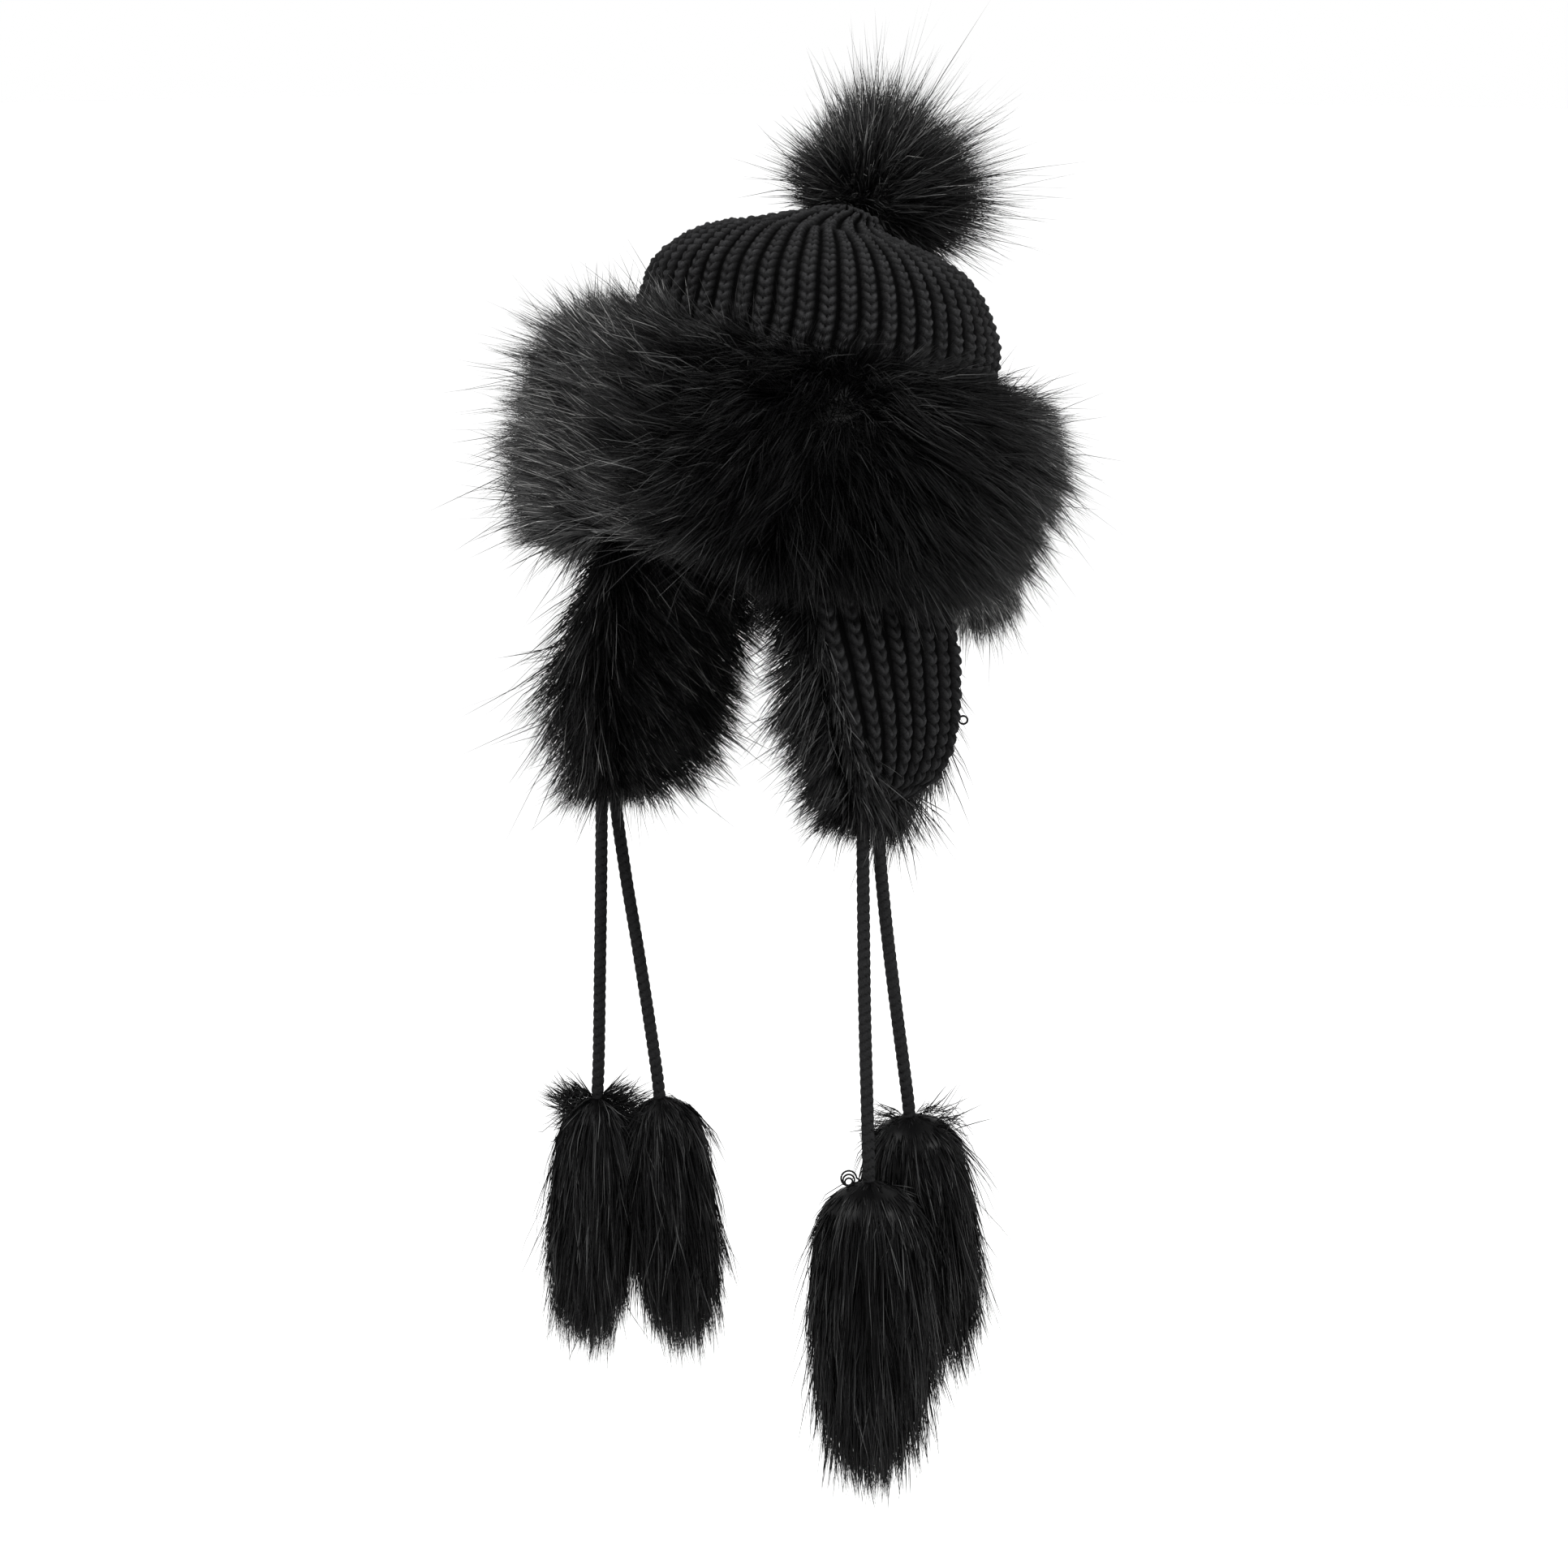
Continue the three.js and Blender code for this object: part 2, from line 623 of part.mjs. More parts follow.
// A tassel hangs from the middle of its top at the origin, along -Z: tiers of locks round a head,
// which is bored for the cord that runs into it.
function furTassel({ long, full }, stream) {
  const count = 2 * TASSEL_LOCKS;
  const length = long * TASSEL_LENGTH;
  const radius = full * TASSEL_RADIUS;
  const bore = boreRadius();
  const depth = length * CORD_IN_TASSEL + GAP;
  const rows = [
    { down: depth / length, wide: bore / radius, tip: 0, ridge: 0 },
    { down: 0, wide: bore / radius, tip: 0, ridge: 0 },
    ...TASSEL_TIERS,
  ];
  const points = [];
  rows.forEach(({ down, wide, tip, ridge }, k) => {
    for (let i = 0; i < count; i++) {
      const angle = (TURN * i) / count;
      const lock = i % 2 === 0;
      const reach = radius * (wide + (lock ? ridge : -ridge));
      const fall = lock ? tip * (1 + spread(i + count * k, stream, 0.45)) : 0;
      points.push(
        new THREE.Vector3(
          Math.cos(angle) * reach,
          Math.sin(angle) * reach,
          -(down + fall) * length,
        ),
      );
    }
  });
  const faces = [];
  for (let k = 0; k + 1 < rows.length; k++) bridge(faces, (k + 1) * count, k * count, count);
  const lowest = TASSEL_TIERS[TASSEL_TIERS.length - 1];
  points.push(new THREE.Vector3(0, 0, -depth), new THREE.Vector3(0, 0, -lowest.down * length));
  cap(faces, 0, points.length - 2, count, true);
  cap(faces, (rows.length - 1) * count, points.length - 1, count, false);
  return geometryFrom(points, faces);
}

// Two tassels that hang side by side press each other flat where they meet: on the neighbour's
// side, what lies past the bore is drawn in until the tassel ends short of the shared plane.
function pressFlat(tassel, shape, plane) {
  const position = tassel.geometry.attributes.position;
  const core = boreRadius();
  const fullestTier = Math.max(...TASSEL_TIERS.map((row) => row.wide + row.ridge));
  const fullest = fullestTier * shape.full * TASSEL_RADIUS;
  tassel.updateMatrixWorld(true);
  const point = new THREE.Vector3();
  for (let i = 0; i < position.count; i++) {
    point.fromBufferAttribute(position, i);
    const axis = tassel.localToWorld(new THREE.Vector3(0, 0, point.z));
    const room = -plane.distanceToPoint(axis) - GAP / 2;
    const world = tassel.localToWorld(point.clone());
    const toward = world.clone().sub(axis).dot(plane.normal);
    if (toward <= core || room >= fullest) continue;
    const pressed = core + ((toward - core) * (room - core)) / (fullest - core);
    world.addScaledVector(plane.normal, pressed - toward);
    tassel.worldToLocal(world);
    position.setXYZ(i, world.x, world.y, world.z);
  }
  tassel.geometry.computeVertexNormals();
}

function material(colour, roughness) {
  return new THREE.MeshStandardMaterial({ color: colour, roughness, metalness: 0 });
}

function piece(name, geometry, colour, roughness) {
  const mesh = new THREE.Mesh(geometry, material(colour, roughness));
  mesh.name = name;
  return mesh;
}

const hat = new THREE.Group();

const pitched = new THREE.Group();
pitched.rotation.x = -HAT_PITCH;
pitched.add(piece("knit_crown", knitCrown(), KNIT_COLOUR, 0.95));
pitched.add(piece("fur_band", furBand(), FUR_COLOUR, 0.7));
hat.add(pitched);

// The pompom is sewn to the back of the gathered peak and leans over the crown's back shoulder.
const seat = PEAK_SECTIONS[1];
const seatRadius = seat.wide * PEAK_RADIUS;
const peakSide = new THREE.Vector3(
  0,
  PEAK_SHIFT * OUTER_HALF_DEPTH + seatRadius + ribRelief(seatRadius),
  CROWN_HEIGHT + seat.up * PEAK_HEIGHT,
);
const [shoulder, flat] = CROWN_SECTIONS.slice(-3, -1).map((row) => {
  return sectionPoint(crownSection(row.up * CROWN_HEIGHT), TURN / 4, RIB_RELIEF);
});
const slope = flat.clone().sub(shoulder);
const upward = new THREE.Vector3(0, slope.z, -slope.y).normalize();
const rest = new THREE.Plane().setFromNormalAndCoplanarPoint(upward, shoulder);
rest.constant -= POMPOM_CLEARANCE;
pitched.updateMatrixWorld(true);
const leanBack = new THREE.Vector3(0, Math.sin(POMPOM_LEAN), Math.cos(POMPOM_LEAN));
const pompom = piece("top_pompom", new THREE.BufferGeometry(), FUR_COLOUR, 0.7);
pompom.position.copy(pitched.localToWorld(peakSide)).addScaledVector(leanBack, 1.5 * GAP);
pompom.rotation.x = -POMPOM_LEAN;
pompom.updateMatrixWorld(true);
rest.applyMatrix4(pitched.matrixWorld).applyMatrix4(pompom.matrixWorld.clone().invert());
pompom.geometry = topPompom(rest);
hat.add(pompom);

const leftFlap = knitFlap();
hat.add(piece("ear_flap_left", leftFlap, KNIT_COLOUR, 0.95));
hat.add(piece("ear_flap_right", mirrored(leftFlap), KNIT_COLOUR, 0.95));
const leftLining = flapLining();
hat.add(piece("flap_lining_left", leftLining, FUR_COLOUR, 0.7));
hat.add(piece("flap_lining_right", mirrored(leftLining), FUR_COLOUR, 0.7));

const tassels = CORDS.map((cord, k) => {
  hat.add(piece("tie_cord_" + cord.name, tieCord(cord), CORD_COLOUR, 0.9));
  const tassel = piece("tassel_" + cord.name, furTassel(cord.tassel, 20 + k), FUR_COLOUR, 0.7);
  tassel.position.copy(routePoints(cord).pop());
  tassel.quaternion.setFromUnitVectors(new THREE.Vector3(0, 0, -1), tasselAxis(cord));
  hat.add(tassel);
  return tassel;
});

// The tassels of one flap share an upright plane, half way between their middles.
for (const [front, rear] of [
  [0, 1],
  [2, 3],
]) {
  const middles = [front, rear].map((k) => {
    const half = new THREE.Vector3(0, 0, -0.5 * CORDS[k].tassel.long * TASSEL_LENGTH);
    return tassels[k].localToWorld(half);
  });
  const normal = middles[1].clone().sub(middles[0]).setZ(0).normalize();
  const between = middles[0].clone().add(middles[1]).multiplyScalar(0.5);
  const plane = new THREE.Plane().setFromNormalAndCoplanarPoint(normal, between);
  pressFlat(tassels[front], CORDS[front].tassel, plane);
  pressFlat(tassels[rear], CORDS[rear].tassel, plane.clone().negate());
}

export default hat;
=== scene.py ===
import math

import bpy
import numpy as np
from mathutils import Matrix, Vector
from mathutils.kdtree import KDTree


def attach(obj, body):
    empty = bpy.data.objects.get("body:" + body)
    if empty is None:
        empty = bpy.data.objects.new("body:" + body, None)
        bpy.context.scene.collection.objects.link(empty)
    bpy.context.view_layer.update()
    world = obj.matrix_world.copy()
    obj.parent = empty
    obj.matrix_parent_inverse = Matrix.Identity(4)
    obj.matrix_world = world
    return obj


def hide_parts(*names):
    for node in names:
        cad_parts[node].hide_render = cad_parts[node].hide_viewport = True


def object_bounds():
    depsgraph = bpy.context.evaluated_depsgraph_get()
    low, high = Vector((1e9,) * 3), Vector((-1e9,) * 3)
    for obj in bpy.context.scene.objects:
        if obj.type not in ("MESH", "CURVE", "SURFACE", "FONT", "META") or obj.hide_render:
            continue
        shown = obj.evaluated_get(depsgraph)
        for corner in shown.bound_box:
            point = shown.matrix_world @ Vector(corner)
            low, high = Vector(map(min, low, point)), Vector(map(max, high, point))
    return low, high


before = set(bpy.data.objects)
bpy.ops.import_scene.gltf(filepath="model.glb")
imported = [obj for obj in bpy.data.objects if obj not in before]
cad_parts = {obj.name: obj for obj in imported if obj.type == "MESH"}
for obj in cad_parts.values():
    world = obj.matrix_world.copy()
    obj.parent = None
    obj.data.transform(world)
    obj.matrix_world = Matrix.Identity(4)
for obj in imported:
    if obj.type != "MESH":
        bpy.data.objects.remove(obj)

# A knitted winter hat with a deep fur band, a fur pompom, two fur-lined ear flaps and four tie
# cords with fur tassels. Shapes are worked out in millimetres and written in metres.
CAD_BOX = [list(corner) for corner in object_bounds()]
MM = 0.001
TURN = 2 * math.pi

# The crown, the band and the flaps repeat the driving dimensions of the solids. Only the peak is lower: its
# ribs stand out from it, and the tip of its solid is a little high.
HEAD_HALF_WIDTH, HEAD_HALF_DEPTH = 80.0, 96.0
HAT_PITCH = math.radians(11.6)
KNIT_WALL = 4.0
RIB_COUNT, RIB_RELIEF = 52, 3.0
CROWN_HEIGHT, PEAK_HEIGHT, PEAK_RADIUS = 178.0, 8.0, 13.0
BAND_HEIGHT, BAND_BED, BAND_PILE = 88.0, 24.0, 62.0
FLAP_WIDTH, FLAP_DROP, FLAP_FLARE, FLARE_FULL_AT = 102.0, 117.0, 16.0, 0.67
FLAP_CENTRE_Y, FLAP_RIBS = -11.0, 8
LINING_BED, LINING_PILE = 10.0, 30.0
CORD_DIAMETER, CORD_REACH = 6.5, 200.0
TASSEL_LENGTH, TASSEL_RADIUS = 150.0, 30.0
CORD_IN_TASSEL = 0.42
GAP = 0.4
OUTER_HALF_WIDTH = HEAD_HALF_WIDTH + KNIT_WALL
OUTER_HALF_DEPTH = HEAD_HALF_DEPTH + KNIT_WALL

# Stitches: how tall one is on the crown, on a flap and on a cord, and how many rows of points it has
CROWN_STITCH, FLAP_STITCH, CORD_STITCH = 5.0, 6.2, 4.7
ROWS_A_STITCH = 5
# A rib's rope: its half width as a share of the rib's, how round it is and how far its loops lean, and
# the crease along its middle
ROPE_HALF, ROPE_ROUND, LOOP_LEAN = 0.8, 0.8, 0.8
CREASE_DEPTH, CREASE_HALF = 0.25, 0.14

# Crown sections from the rim up: height and half width as shares, front, back and shift of the depth
CROWN_SECTIONS = [
    (0.0, 1.0, 1.0, 1.0, 0.0),
    (0.5, 1.01, 1.01, 1.01, 0.0),
    (0.585, 1.035, 1.0, 1.07, 0.02),
    (0.675, 1.025, 0.98, 1.09, 0.03),
    (0.79, 0.95, 0.93, 0.99, 0.02),
    (0.868, 0.8, 0.8, 0.88, 0.02),
    (0.915, 0.62, 0.66, 0.67, 0.03),
    (0.945, 0.41, 0.48, 0.42, 0.06),
    (0.97, 0.26, 0.31, 0.25, 0.11),
]
PEAK_SECTIONS = [(0.08, 1.25), (0.45, 0.85), (0.85, 0.42)]
PEAK_SHIFT = 0.15
# Flap outline: how far down, and its front and rear edges as shares of the flap's width
FLAP_ROWS = [
    (0.0, -0.5, 0.5),
    (0.3, -0.48, 0.48),
    (0.53, -0.435, 0.43),
    (0.7, -0.385, 0.4),
    (0.82, -0.355, 0.34),
    (0.92, -0.335, 0.22),
    (1.0, -0.325, -0.02),
]
# Cords: the route from the exit as shares of CORD_REACH, and how long and how full the tassel is, as
# shares of TASSEL_LENGTH and TASSEL_RADIUS
CORDS = {
    "left_front": (
        [(0, 0, 0), (0, 0, -0.1), (0.009, -0.007, -0.3), (0.031, -0.026, -0.55),
         (0.055, -0.044, -0.76), (0.069, -0.054, -0.91), (0.072, -0.056, -0.96)],
        1.08, 1.13,
    ),
    "left_rear": (
        [(0, 0, 0), (0, 0, -0.1), (0.002, 0.02, -0.275), (0.003, 0.058, -0.5),
         (0.001, 0.099, -0.7), (0.001, 0.118, -0.8), (0.002, 0.123, -0.84)],
        0.97, 1.03,
    ),
    "right_front": (
        [(0, 0, 0), (0, 0, -0.1), (-0.006, 0.001, -0.35), (-0.013, 0.001, -0.6),
         (-0.018, 0, -0.8), (-0.02, -0.0015, -0.87), (-0.022, -0.003, -0.92)],
        0.93, 0.8,
    ),
    "right_rear": (
        [(0, 0, 0), (0.0025, 0, -0.1), (0.027, 0.011, -0.3), (0.059, 0.029, -0.525),
         (0.085, 0.0445, -0.725), (0.102, 0.055, -0.87), (0.106, 0.058, -0.92)],
        0.95, 0.83,
    ),
}

# The camera stands where the photograph was taken from, with a long lens
VIEW_AZIMUTH, VIEW_ELEVATION = math.radians(42), math.radians(10)
VIEW_DISTANCE = 2.3
VIEW_TARGET = Vector((0.016, -0.015, -0.1187))
LENS_MM, SENSOR_MM = 100.7, 36
# Level directions: to the viewer's right, and toward the viewer
VIEWER_RIGHT = np.array([math.cos(VIEW_AZIMUTH), math.sin(VIEW_AZIMUTH), 0])
TOWARD_VIEWER = np.array([math.sin(VIEW_AZIMUTH), -math.cos(VIEW_AZIMUTH), 0])


def placed(name, data):
    """A new object in the scene."""
    item = bpy.data.objects.new(name, data)
    bpy.context.scene.collection.objects.link(item)
    return item


def make_camera():
    camera = placed("camera", bpy.data.cameras.new("camera"))
    level = math.cos(VIEW_ELEVATION)
    back = Vector((
        math.sin(VIEW_AZIMUTH) * level,
        -math.cos(VIEW_AZIMUTH) * level,
        math.sin(VIEW_ELEVATION),
    ))
    camera.data.lens = LENS_MM
    camera.data.sensor_width = SENSOR_MM
    camera.location = VIEW_TARGET + back * VIEW_DISTANCE
    camera.rotation_mode = "QUATERNION"
    camera.rotation_quaternion = (-back).to_track_quat("-Z", "Y")
    camera.data.clip_start, camera.data.clip_end = 0.1, 200
    bpy.context.scene.camera = camera


def unit(vectors):
    return vectors / np.maximum(np.linalg.norm(vectors, axis=-1, keepdims=True), 1e-9)


def hump(places, middle, width):
    """1 at the middle place, and falling away smoothly to 0 on both sides of it."""
    return np.exp(-(((places - middle) / width) ** 2))


def pitched(points):
    """Points of the hat's own frame in the level frame, with the front of the rim high."""
    c, s = math.cos(HAT_PITCH), math.sin(HAT_PITCH)
    x, y, z = np.moveaxis(np.asarray(points, float), -1, 0)
    return np.stack([x, c * y + s * z, c * z - s * y], axis=-1)


def smooth_through(knots, at):
    """Points on a smooth curve through the knots, at places from 0 to 1 along their chords."""
    knots = np.asarray(knots, float)
    chord = np.linalg.norm(np.diff(knots, axis=0), axis=1)
    along = np.concatenate([[0], np.cumsum(np.sqrt(chord))])
    padded = np.vstack([2 * knots[0] - knots[1], knots, 2 * knots[-1] - knots[-2]])
    spans = np.concatenate([[along[1]], np.diff(along), [along[-1] - along[-2]]])
    times = np.concatenate([[-spans[0]], along, [along[-1] + spans[-1]]])
    t = np.asarray(at) * along[-1]
    i = np.clip(np.searchsorted(along, t, side="right") - 1, 0, len(knots) - 2)
    p = [padded[i + k] for k in range(4)]
    s = [times[i + k][:, None] for k in range(4)]
    t = t[:, None]

    def mix(a, b, ta, tb):
        return a + (b - a) * (t - ta) / (tb - ta)

    a1, a2, a3 = (mix(p[k], p[k + 1], s[k], s[k + 1]) for k in range(3))
    b1, b2 = mix(a1, a2, s[0], s[2]), mix(a2, a3, s[1], s[3])
    return mix(b1, b2, s[1], s[2])


class Shape:
    """The points and faces of one piece, with a tone from 0, dark, to 1, pale, at each point. The tone
    carries painted shade and painted light as well as the colour.
    """

    def __init__(self):
        self.points, self.tones, self.faces = [], [], []
        self.count = 0

    def add(self, points, faces, tones=0.0):
        points = np.asarray(points, float).reshape(-1, 3)
        self.points.append(points)
        self.tones.append(np.broadcast_to(tones, len(points)))
        for corners in faces:
            self.faces.append(np.asarray(corners) + self.count)
        self.count += len(points)

    def close_ring(self, ring, point, tone=0.0):
        """Closes a ring of points that are already there with triangles up to one more point."""
        fan = np.stack([ring, np.roll(ring, -1), np.full(len(ring), self.count)], axis=1)
        self.faces.append(fan)
        self.add([point], [], tone)

    def join_rings(self, ring, other):
        """Joins two rings of points that are already there."""
        strip = np.stack([ring, other, np.roll(other, -1), np.roll(ring, -1)], axis=1)
        self.faces.append(strip)

    def piece(self, name, material, slot, *nodes):
        points = np.concatenate(self.points) * MM
        loops = np.concatenate([f.ravel() for f in self.faces])
        sizes = np.concatenate([np.full(len(f), f.shape[1]) for f in self.faces])
        mesh = bpy.data.meshes.new(name)
        mesh.vertices.add(len(points))
        mesh.vertices.foreach_set("co", points.ravel())
        mesh.loops.add(len(loops))
        mesh.loops.foreach_set("vertex_index", loops.astype(np.int32))
        mesh.polygons.add(len(sizes))
        starts = np.concatenate([[0], np.cumsum(sizes)[:-1]])
        mesh.polygons.foreach_set("loop_start", starts.astype(np.int32))
        mesh.update(calc_edges=True)
        mesh.polygons.foreach_set("use_smooth", np.ones(len(sizes), bool))
        tone = mesh.attributes.new("tone", "FLOAT", "POINT")
        tone.data.foreach_set("value", np.concatenate(self.tones).astype(np.float32))
        mesh.materials.append(material)
        piece = placed(name, mesh)
        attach(piece, "root")
        if nodes:
            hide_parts(*nodes)
        return piece


def grid(rows, columns, closed=False):
    """The four-sided faces of a grid of points, with the last column joined to the first if closed."""
    across = columns if closed else columns - 1
    r, c = np.meshgrid(np.arange(rows - 1), np.arange(across), indexing="ij")
    right = (c + 1) % columns
    a, b = r * columns + c, r * columns + right
    return np.stack([a, b, b + columns, a + columns], axis=-1).reshape(-1, 4)


def normals_of(points, closed):
    """The outward direction at each point of a grid that goes round anticlockwise and up."""
    if closed:
        across = np.roll(points, -1, 1) - np.roll(points, 1, 1)
    else:
        across = np.gradient(points, axis=1)
    return unit(np.cross(across, np.gradient(points, axis=0)))


def stitches(across, up, deep):
    """The relief of rib knit, 0 in the groove to about 1: across is -1 to 1 over a rib, up counts
    stitches, and deep is how much of the relief their loops make."""
    side = np.abs(across)
    lean = np.mod(up - LOOP_LEAN * side, 1.0)
    rope = np.clip(1 - (side / ROPE_HALF) ** 2, 0, 1) ** ROPE_ROUND
    loop = 1 - (2 * lean - 1) ** 2
    crease = CREASE_DEPTH * hump(across, 0, CREASE_HALF)
    return np.clip(rope * (1 - deep + deep * loop) - crease, 0, 1)


# Materials

FUR_ROUGHNESS, YARN_ROUGHNESS, YARN_GLOSS = 0.4, 0.9, 0.03
# Fur's colour by its tone, from nearly black to pale
FUR_COLOURS = [
    (0.0, (0.0006, 0.0006, 0.0007)),
    (0.4, (0.005, 0.005, 0.0052)),
    (0.65, (0.022, 0.0221, 0.0222)),
    (0.88, (0.07, 0.0705, 0.07)),
    (1.0, (0.34, 0.337, 0.33)),
]
# Painted shade: how much of its colour the yarn keeps, by its tone, least in the grooves
YARN_GROOVE_SHADE = [(0.05, (0.03,) * 3), (0.45, (0.36,) * 3), (0.85, (1.0,) * 3)]
# The yarn's fibres: how detailed and how twisted they are, and how far they stand out
FIBRE_DETAIL, FIBRE_TWIST, FIBRE_RISE = 4, 1.5, 0.9


def principled(name, roughness, specular):
    material = bpy.data.materials.new(name)
    material.use_nodes = True
    nodes, links = material.node_tree.nodes, material.node_tree.links
    shader = nodes["Principled BSDF"]
    shader.inputs["Roughness"].default_value = roughness
    shader.inputs["Specular IOR Level"].default_value = specular
    return material, nodes, links, shader


def ramp(nodes, stops):
    node = nodes.new("ShaderNodeValToRGB")
    elements = node.color_ramp.elements
    while len(elements) < len(stops):
        elements.new(0.5)
    for element, (place, colour) in zip(elements, stops):
        element.position = place
        element.color = (*colour, 1)
    return node


def tone_of(nodes):
    """The output that gives the tone of each point."""
    node = nodes.new("ShaderNodeAttribute")
    node.attribute_name = "tone"
    return node.outputs["Fac"]


def fur_material(name, gloss):
    """Black fur: dark at the root, softly grey at the tip, with a few pale hairs. The dark root is painted
    shade, the grey tip painted sheen and the pale hairs painted glints.
    """
    material, nodes, links, shader = principled(name, FUR_ROUGHNESS, gloss)
    colours = ramp(nodes, FUR_COLOURS)
    links.new(tone_of(nodes), colours.inputs["Fac"])
    links.new(colours.outputs["Color"], shader.inputs["Base Color"])
    return material


def yarn_material(name, pale, fibre_size):
    """Matte black yarn with fine fibres that lie unevenly, with painted shade where its tone is low, in the
    grooves.
    """
    material, nodes, links, shader = principled(name, YARN_ROUGHNESS, YARN_GLOSS)
    place = nodes.new("ShaderNodeTexCoord")
    fibres = nodes.new("ShaderNodeTexNoise")
    fibres.inputs["Scale"].default_value = 1 / (fibre_size * MM)
    fibres.inputs["Detail"].default_value = FIBRE_DETAIL
    fibres.inputs["Distortion"].default_value = FIBRE_TWIST
    colours = ramp(nodes, [(0.3, (0.4 * pale,) * 3), (0.75, (pale, pale, 1.05 * pale))])
    groove_shade = ramp(nodes, YARN_GROOVE_SHADE)
    mix = nodes.new("ShaderNodeMix")
    mix.data_type, mix.blend_type = "RGBA", "MULTIPLY"
    mix.inputs["Factor"].default_value = 1
    bump = nodes.new("ShaderNodeBump")
    bump.inputs["Strength"].default_value = 1.0
    bump.inputs["Distance"].default_value = FIBRE_RISE * MM
    links.new(tone_of(nodes), groove_shade.inputs["Fac"])
    links.new(groove_shade.outputs["Color"], mix.inputs["A"])
    links.new(colours.outputs["Color"], mix.inputs["B"])
    links.new(place.outputs["Object"], fibres.inputs["Vector"])
    links.new(fibres.outputs["Fac"], colours.inputs["Fac"])
    links.new(mix.outputs["Result"], shader.inputs["Base Color"])
    links.new(fibres.outputs["Fac"], bump.inputs["Height"])
    links.new(bump.outputs["Normal"], shader.inputs["Normal"])
    return material


FUR = fur_material("fur", gloss=0.14)
TASSEL_FUR = fur_material("tassel_fur", gloss=0.08)
KNIT = yarn_material("knit", pale=0.037, fibre_size=1.0)
YARN_CORD = yarn_material("cord", pale=0.02, fibre_size=0.8)


# Fur

# Where a hair's points are along it, how wide it is at its two middle ones, and how its tone rises over
# its root, its two middle pairs and its tip: painted shade at the root, deep in the fur, and painted sheen
# toward the tip
HAIR_STEPS = np.array([0.0, 0.24, 0.64, 1.0])
HAIR_WIDTHS = np.array([1.0, 0.75])
PAINTED_LIGHT_ALONG = np.array([0.1, 0.5, 0.5, 0.85, 0.85, 1.0])
HAIR_POINTS = len(PAINTED_LIGHT_ALONG)
# The share of strays, of pale ones among them, and of hairs that glint, and a stray's least length. Pale
# strays and glinting hairs are painted glints: a pale tone stands in for highlights
STRAY_SHARE, PALE_GLINT_SHARE, GLINT_SHARE, STRAY_SHORTEST = 0.13, 0.22, 0.11, 0.9
# How much a hair bends by itself, how uneven hairs' lean and width are, and how late they lean
OWN_CURL, UNEVEN_LEAN, UNEVEN_WIDTH, LEAN_LATE = 0.6, (0.55, 1.15), (0.7, 1.25), 1.4
# A hair's tone: the part that all have, the hair's own and its lock's, and the tone of a painted glint and
# of a pale stray, which is a painted glint too
TONE_OF_ALL, TONE_OF_HAIR, TONE_OF_LOCK = 0.12, 0.5, 0.38
GLINT_TONE, GLINT_BY_SHADE, UNEVEN_GLINT, PALE_GLINT_TONE = 0.45, 0.6, (0.85, 1.1), 1.3
# No hair passes the solids' box by more than this, along x, y and z. Those that would are shortened to a
# share, up to a number of times
HAIR_REACH = np.array([14.0, 15.0, 22.0])
SHORTENED, SHORTENINGS = 0.88, 12


def kept_near(line):
    """The hairs, with those whose tips go too far out drawn in toward their roots."""
    low, high = np.array(CAD_BOX) / MM
    for _ in range(SHORTENINGS):
        past = ((line[:, -1] < low - HAIR_REACH) | (line[:, -1] > high + HAIR_REACH)).any(axis=1)
        line[past] = line[past][:, :1] + SHORTENED * (line[past] - line[past][:, :1])
    return line


